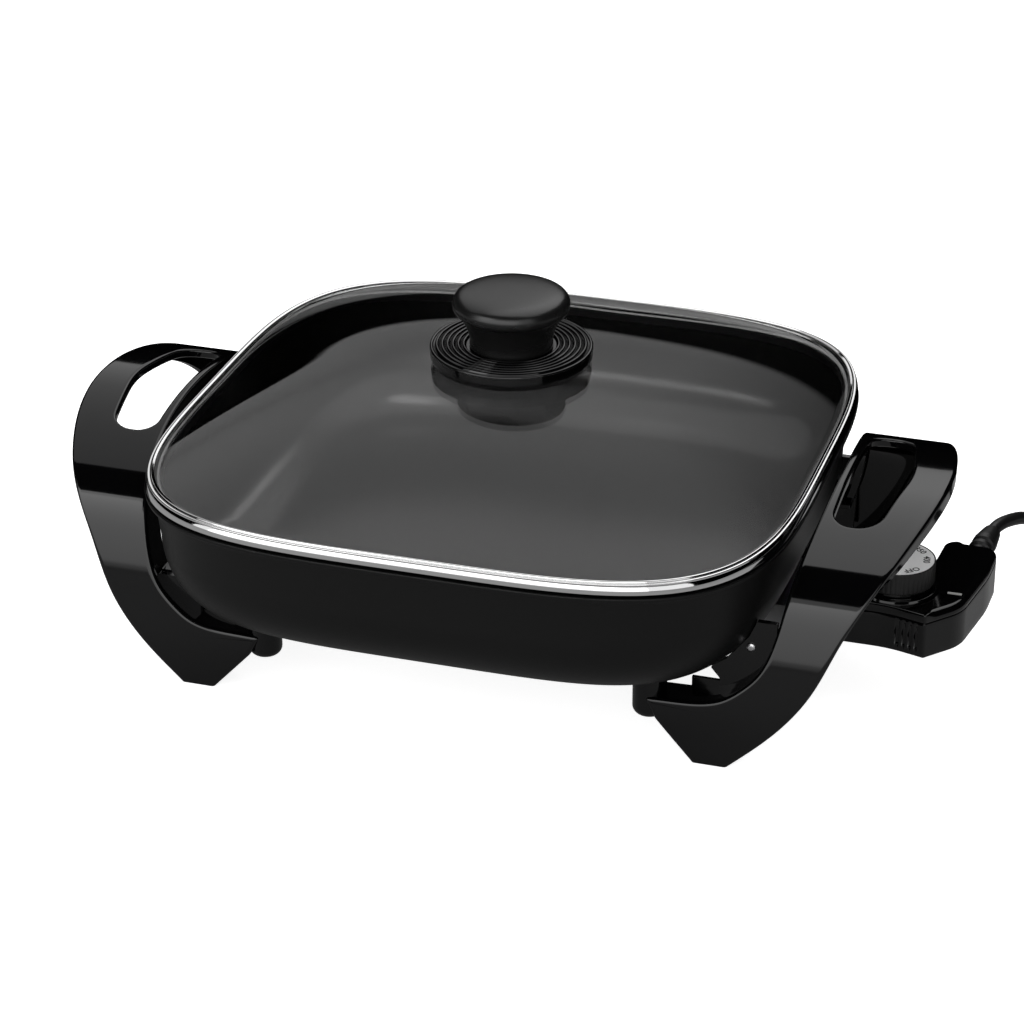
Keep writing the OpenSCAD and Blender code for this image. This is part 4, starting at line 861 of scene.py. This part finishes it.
# The knob is a turned profile whose side is drawn in by clipped cosines, the flutes, which fade towards its top; each
# mark stands on the plate with its head outwards, at its own angle.
def makeDial():
    dialLow, dialHigh = nodeBox("dial")
    axis = np.array([(dialLow[0] + dialHigh[0]) / 2, 0])
    low, high, r, flutes = dialLow[2], dialHigh[2], dialSize["radius"], dialSize["flutes"]
    plateLow, plateHigh = high - dialSize["sunk"] + 0.02, high - 0.1
    profile = rounded([
        (3, high - 3), (3, low + 0.5), (4.5, low, 0.2), (r - 2.2, low), (r - 0.4, low, 0.3), (r, low + 0.8, 0.5),
        (r, high, 0.35), (r - 0.7, high, 0.2), (r - 0.7, high - dialSize["sunk"], 0.1), (0.01, high - dialSize["sunk"]),
    ], 5)
    grid = lathe(profile, axis, flutes * 10)
    t = np.linspace(0, 2 * np.pi, flutes * 10, endpoint=False)
    groove = np.clip(np.cos(t * flutes), -0.2, 1) + 0.2
    across = np.interp(profile[:, 0], [r - 0.4, r - 0.1], [0, 1])
    across *= np.interp(profile[:, 1], [high - 1.4, high - 0.4], [1, 0.15])
    shrink = 1 - across[:, None] * groove / 1.2 * dialSize["fluteDepth"] / r
    grid[:, :, :2] = axis + (grid[:, :, :2] - axis) * shrink[:, :, None]
    Shell().add(grid, poleEnds).piece("dialKnob", rubberBlack, body="dial", replaced=("dial",), slot="satin_black")
    rim = dialSize["plate"]
    plate = rounded([(0.01, plateLow), (rim, plateLow, 0), (rim, plateHigh, 0.15), (0.01, plateHigh)], 4)
    Shell().add(lathe(plate, axis), poleEnds).piece(
        "dialPlate", silverPlate, body="dial", replaced=("dial_plate",), slot="silver_plate")
    made, faces, start = [], [], 0
    for words, degrees in dialSize["marks"].items():
        points, sides = letters(words)
        a = math.radians(degrees)
        out, right = np.array([math.cos(a), math.sin(a)]), np.array([math.sin(a), -math.cos(a)])
        flat = axis + points[:, :1] * right + (points[:, 1:2] + dialSize["numbers"]) * out
        made.append(level(flat, points[:, 2] + plateHigh + 0.02))
        faces += [side + start for side in sides]
        start += len(points)
    addPiece("dialNumerals", np.vstack(made), faces, inkBlack, body="dial", slot="satin_black")

makeDial()

# Ring turned from a stepped profile of [radius, height]
def makeCollar():
    low, high = nodeBox("dial_collar")
    r, z, top = (high[0] - low[0]) / 2, low[2], high[2]
    profile = rounded([
        (14, z), (r - 0.05, z, 0.1), (r - 0.05, z + 0.6, 0.3), (r - 1.4, z + 1.4, 0.7), (r - 2.6, z + 1.2, 0.5),
        (r - 3.8, z + 1.0, 0.3), (r - 3.8, top, 0.3), (14, top),
    ], 5)
    Shell().add(lathe(profile, ((low[0] + high[0]) / 2, 0)), wrapRows=True).piece(
        "dialCollar", glossBlack, body="control", replaced=("dial_collar",), slot="black_phenolic")

makeCollar()

# strain relief and plug

relief = {"from": (220.8, 54.0, 45.8), "turn": 6.0}

# Ringed bulb: a profile of [radius, distance] turned about the cord's way out
def makeRelief():
    a = math.radians(relief["turn"])
    ahead = np.array([math.sin(a), math.cos(a), 0])
    profile = rounded([
        (0.01, -4), (4.6, -4, 0.1), (4.6, 1.5, 0.4), (6, 2.6, 0.9), (6, 5.4, 0.9), (4.7, 6.4, 0.4), (4.7, 7.4, 0.4),
        (6, 8.6, 0.9), (6, 12.5, 3.5), (5.4, 17, 4), (4.9, 21, 3), (4.4, 24.2, 0.8), (3.3, 25),
    ], 4)
    path = np.array(relief["from"]) + [centreX, 0, 0] + ahead * profile[:, 1:2]
    side = np.array([ahead[1], -ahead[0], 0])
    t = np.linspace(0, 2 * np.pi, 64, endpoint=False)[None, :, None]
    grid = path[:, None] + profile[:, 0][:, None, None] * (np.cos(t) * side + np.sin(t) * [0, 0, 1])
    Shell().add(grid, poleEnds, flip=True).piece(
        "strainRelief", rubberBlack, body="control", replaced=("strain_relief",), slot="soft_black")

makeRelief()

# distance along from -1, the prongs, to 1, the cord, and share of the full width there
plug = {
    "power": 4.0, "sides": 72,
    "stations": [(-1, 0.80), (-0.97, 0.9), (-0.9, 0.985), (-0.8, 1), (-0.5, 1), (-0.3, 0.97), (0, 0.88), (0.25, 0.80),
                 (0.5, 0.74), (0.75, 0.66), (0.93, 0.58), (1, 0.52)],
}

# Superellipse rings, squeezed at the grip and drawn in towards the cord; their height shrinks 0.4 as fast.
def makePlug():
    low, high = nodeBox("plug_body")
    middle, half = (low + high) / 2, (high - low) / 2
    unit = squircle(1, 1, plug["power"], plug["sides"])
    place, share = np.array(plug["stations"]).T[:, :, None]
    grid = np.stack(np.broadcast_arrays(share * unit[:, 0], place, (0.6 + 0.4 * share) * unit[:, 1]), -1)
    Shell().add(middle + half * grid, flatEnds, flip=True).piece(
        "plugBody", rubberBlack, body="control", replaced=("plug_body",), slot="soft_black")

makePlug()
print("control made")

# solids kept from the frame

kept = {
    "heater_casting": castMetal, "heating_element": elementSheath, "element_seals": sealCeramic,
    "knob_gasket": silicone, "index_mark": whitePrint, "adjusting_cam": brass, "contact_blades": copper,
    "terminal_clips": brass, "cord_tie": rubberBlack, "plug_prongs": brass,
}
kept.update(dict.fromkeys((
    "terminal_pins", "terminal_guard", "guard_screws", "post_screws", "tab_screws", "knob_washer", "knob_screw",
    "control_screws", "dial_shaft", "thermostat_frame", "probe_tube",
), platedSteel))
for name, material in kept.items():
    for slot in frame["nodes"][name].material_slots:
        slot.material = material

# floor, backdrop and lights

stage = {
    "ambient": 0.42, "floor": 0.86, "floorGlow": 0.85, "floorInGloss": 0.22, "glowInGloss": 0.12, "floorRadius": 9000,
    "floorHeight": -0.2, "domeRadius": 5500,
}

# Strength that is high for camera, glossy and transmission rays and low for the rest; what comes back out through
# the glass after a bounce under it, on its third transmission or later, stays dark.
def backgroundStrength(tree, low, high):
    rays = node(tree, "ShaderNodeLightPath").outputs
    seen = maths(tree, "MAXIMUM", rays["Is Camera Ray"], rays["Is Glossy Ray"])
    seen = maths(tree, "MAXIMUM", seen, rays["Is Transmission Ray"])
    early = maths(tree, "LESS_THAN", rays["Transmission Depth"], 2.5)
    return maths(tree, "MULTIPLY", ramp(tree, seen, low, high), early)

# A pale disc that glows for the camera; reflections show it darker and with a faint glow.
def makeFloor():
    world = bpy.data.worlds.new("studio")
    bpy.context.scene.world = world
    world.use_nodes = True
    tree = world.node_tree
    strength = backgroundStrength(tree, stage["ambient"], 1.0)
    fill(tree, tree.nodes["Background"], {"Strength": strength, "Color": (1, 1, 1, 1)})
    material, tree, shader = newMaterial("paleFloor")
    rays = node(tree, "ShaderNodeLightPath").outputs
    seen = maths(tree, "MAXIMUM", rays["Is Camera Ray"], rays["Is Transmission Ray"])
    straight = ramp(tree, rays["Glossy Depth"], stage["floorGlow"], 0)          # nothing reflected on the way
    glow = maths(tree, "MULTIPLY", seen, straight)
    glow = maths(tree, "MULTIPLY_ADD", rays["Is Glossy Ray"], stage["glowInGloss"], glow)
    fill(tree, shader, {
        "Base Color": ramp(tree, rays["Glossy Depth"], stage["floor"], stage["floorInGloss"]),
        "Roughness": 0.9, "Specular IOR Level": 0.0, "Emission Color": (1, 1, 1, 1), "Emission Strength": glow,
    })
    t = np.linspace(0, 2 * np.pi, 64, endpoint=False)
    ring = level(stage["floorRadius"] * np.column_stack([np.cos(t), np.sin(t)]), stage["floorHeight"])
    addPiece("floor", ring, [np.arange(64)[None, :]], material)

black, tree, shader = newMaterial("blackCard")
fill(tree, shader, {"Base Color": (0, 0, 0, 1), "Specular IOR Level": 0.0})

# Black card that only reflections show, also those seen through glass where through is set
def card(name, grid, through=True):
    piece = Shell().add(np.array(grid, float), wrapCols=False).piece(name, black)
    piece.visible_camera = piece.visible_diffuse = piece.visible_shadow = False
    piece.visible_transmission = through

# Parts of a sphere about the origin, by azimuth and elevation, and a strip on the table behind the object
def makeCards():
    az = np.radians(np.linspace(-180, 180, 49))
    el = np.radians(np.linspace(-1, 90, 24))
    dome = np.stack([
        np.outer(np.cos(el), np.sin(az)), -np.outer(np.cos(el), np.cos(az)), np.outer(np.sin(el), np.ones_like(az))
    ], -1) * stage["domeRadius"]
    card("domeBack", dome[:, :17])
    card("domeBackRight", dome[:, 32:])
    card("domeFront", dome[11:, 16:33])
    card("tableBack", [[(-2500, 230, 0.5), (2500, 230, 0.5)], [(-2500, 5400, 0.5), (2500, 5400, 0.5)]], through=False)

# What a fading lamp multiplies its light by: place across and up its face, from 0 to 1
def lampPlace(data):
    data.use_nodes = True
    tree = data.node_tree
    parametric = node(tree, "ShaderNodeNewGeometry").outputs["Parametric"]
    return tree, node(tree, "ShaderNodeSeparateXYZ", {0: parametric}).outputs

glassLamp = {"slant": 0.464, "cut": 1.061, "soft": 0.03, "right": 0.5, "front": 1.4, "back": 0.6}

# The glass's lamp: bright at its front and falling backwards, dimmer at its right, cut off along a slanting back line
def shapeGlassLamp(data):
    tree, place = lampPlace(data)
    across, ahead = place["X"], place["Y"]
    line = maths(tree, "MULTIPLY_ADD", across, glassLamp["slant"], ahead)
    cut = ramp(tree, line, 1, 0, glassLamp["cut"] - glassLamp["soft"], glassLamp["cut"])
    right = ramp(tree, across, 0, glassLamp["right"], 0.78, 0.92)
    dim = maths(tree, "MULTIPLY", right, ramp(tree, ahead, 0, 1, 0.30, 0.45))
    fall = ramp(tree, ahead, glassLamp["front"], glassLamp["back"], 0.2, 0.6)
    strength = maths(tree, "MULTIPLY", maths(tree, "MULTIPLY", cut, maths(tree, "SUBTRACT", 1, dim)), fall)
    fill(tree, tree.nodes["Emission"], {"Strength": strength})

above, before = (0, 0, 1), (0, -1, 0)                        # where a lamp stands, seen from what it faces

# Rectangular softbox: where it stands, its middle in metres, width and height, how bright it looks and the pieces it
# lights; foot is the share of its brightness at its lower or nearer edge.
def softbox(name, stand, middle, width, height, radiance, receivers, foot=1.0, shape=None):
    data = bpy.data.lights.new(name, "AREA")
    data.shape, data.size, data.size_y = "RECTANGLE", width, height
    data.energy = radiance * math.pi * width * height
    # lamps for the pan under the glass are sampled from the lamp alone, since the glass loses the other half
    data.cycles.use_multiple_importance_sampling = receivers is not panOnly
    lamp = bpy.data.objects.new(name, data)
    bpy.context.scene.collection.objects.link(lamp)
    matrix = np.eye(4)
    matrix[:3, 1], matrix[:3, 2], matrix[:3, 3] = np.cross(stand, (1, 0, 0)), stand, middle
    lamp.matrix_world = Matrix(matrix.tolist())
    lamp.light_linking.receiver_collection = receivers
    if shape:
        shape(data)
    elif foot != 1:
        tree, place = lampPlace(data)
        fill(tree, tree.nodes["Emission"], {"Strength": ramp(tree, place["Y"], foot, 1)})

# Collection of the pieces that a lamp lights
def lit(name, wanted):
    group = bpy.data.collections.new(name)
    for piece in bpy.data.objects:
        if piece.type == "MESH" and wanted(piece.name):
            group.objects.link(piece)
    return group

makeFloor()
makeCards()
flatTops = ("lidGlass", "panShell", "controlCover", "controlBase", "dialCollar")
panOnly = lit("panOnly", lambda name: name == "panShell")
glassOnly = lit("glassOnly", lambda name: name == "lidGlass")
bandOnly = lit("bandOnly", lambda name: name == "lidBand")
notGlass = lit("allButGlass", lambda name: name not in ("lidGlass", "panShell"))
shiny = lit("allButFlatTops", lambda name: name not in flatTops)
plastics = lit("allButFlatTopsAndBand", lambda name: name not in (*flatTops, "lidBand"))
softbox("topRight", above, (0.15, 0.77, 1.3), 1.2, 1.8, 1.5, notGlass)
softbox("topLeft", above, (-0.95, 0.77, 1.3), 1.0, 1.8, 0.62, notGlass)
softbox("topBackRight", above, (0.025, 2.37, 1.3), 0.95, 1.4, 0.9, shiny, foot=1.67)
softbox("topBackLeft", above, (-1.075, 2.37, 1.3), 1.25, 1.4, 0.9, plastics, foot=0.69)
softbox("rimLeft", above, (-1.275, 2.37, 1.3), 0.85, 1.4, 0.9, bandOnly)
softbox("topPan", above, (-0.4, 1.0, 1.31), 3.0, 4.2, 0.2, panOnly)
softbox("frontPan", before, (-0.4, -1.2, 0.6), 2.2, 1.2, 0.4, panOnly)
softbox("streakBack", above, (0.7, 2.3, 1.3), 0.35, 1.0, 1.8, panOnly)
softbox("streakTop", above, (0.0, 0.05, 1.3), 0.4, 0.3, 4.2, panOnly)
softbox("streakFront", before, (-0.6, -1.2, 0.36), 1.5, 0.26, 3.2, panOnly)
softbox("topGlass", above, (-1.325, 1.45, 0.9), 4.55, 4.9, 0.5, glassOnly, shape=shapeGlassLamp)
softbox("frontLeft", before, (-0.95, -1.2, 0.75), 0.9, 1.46, 2.6, notGlass, foot=0.2)
softbox("frontRight", before, (0.1, -1.2, 0.47), 1.2, 0.9, 1.7, notGlass, foot=0.28)
print("stage made")
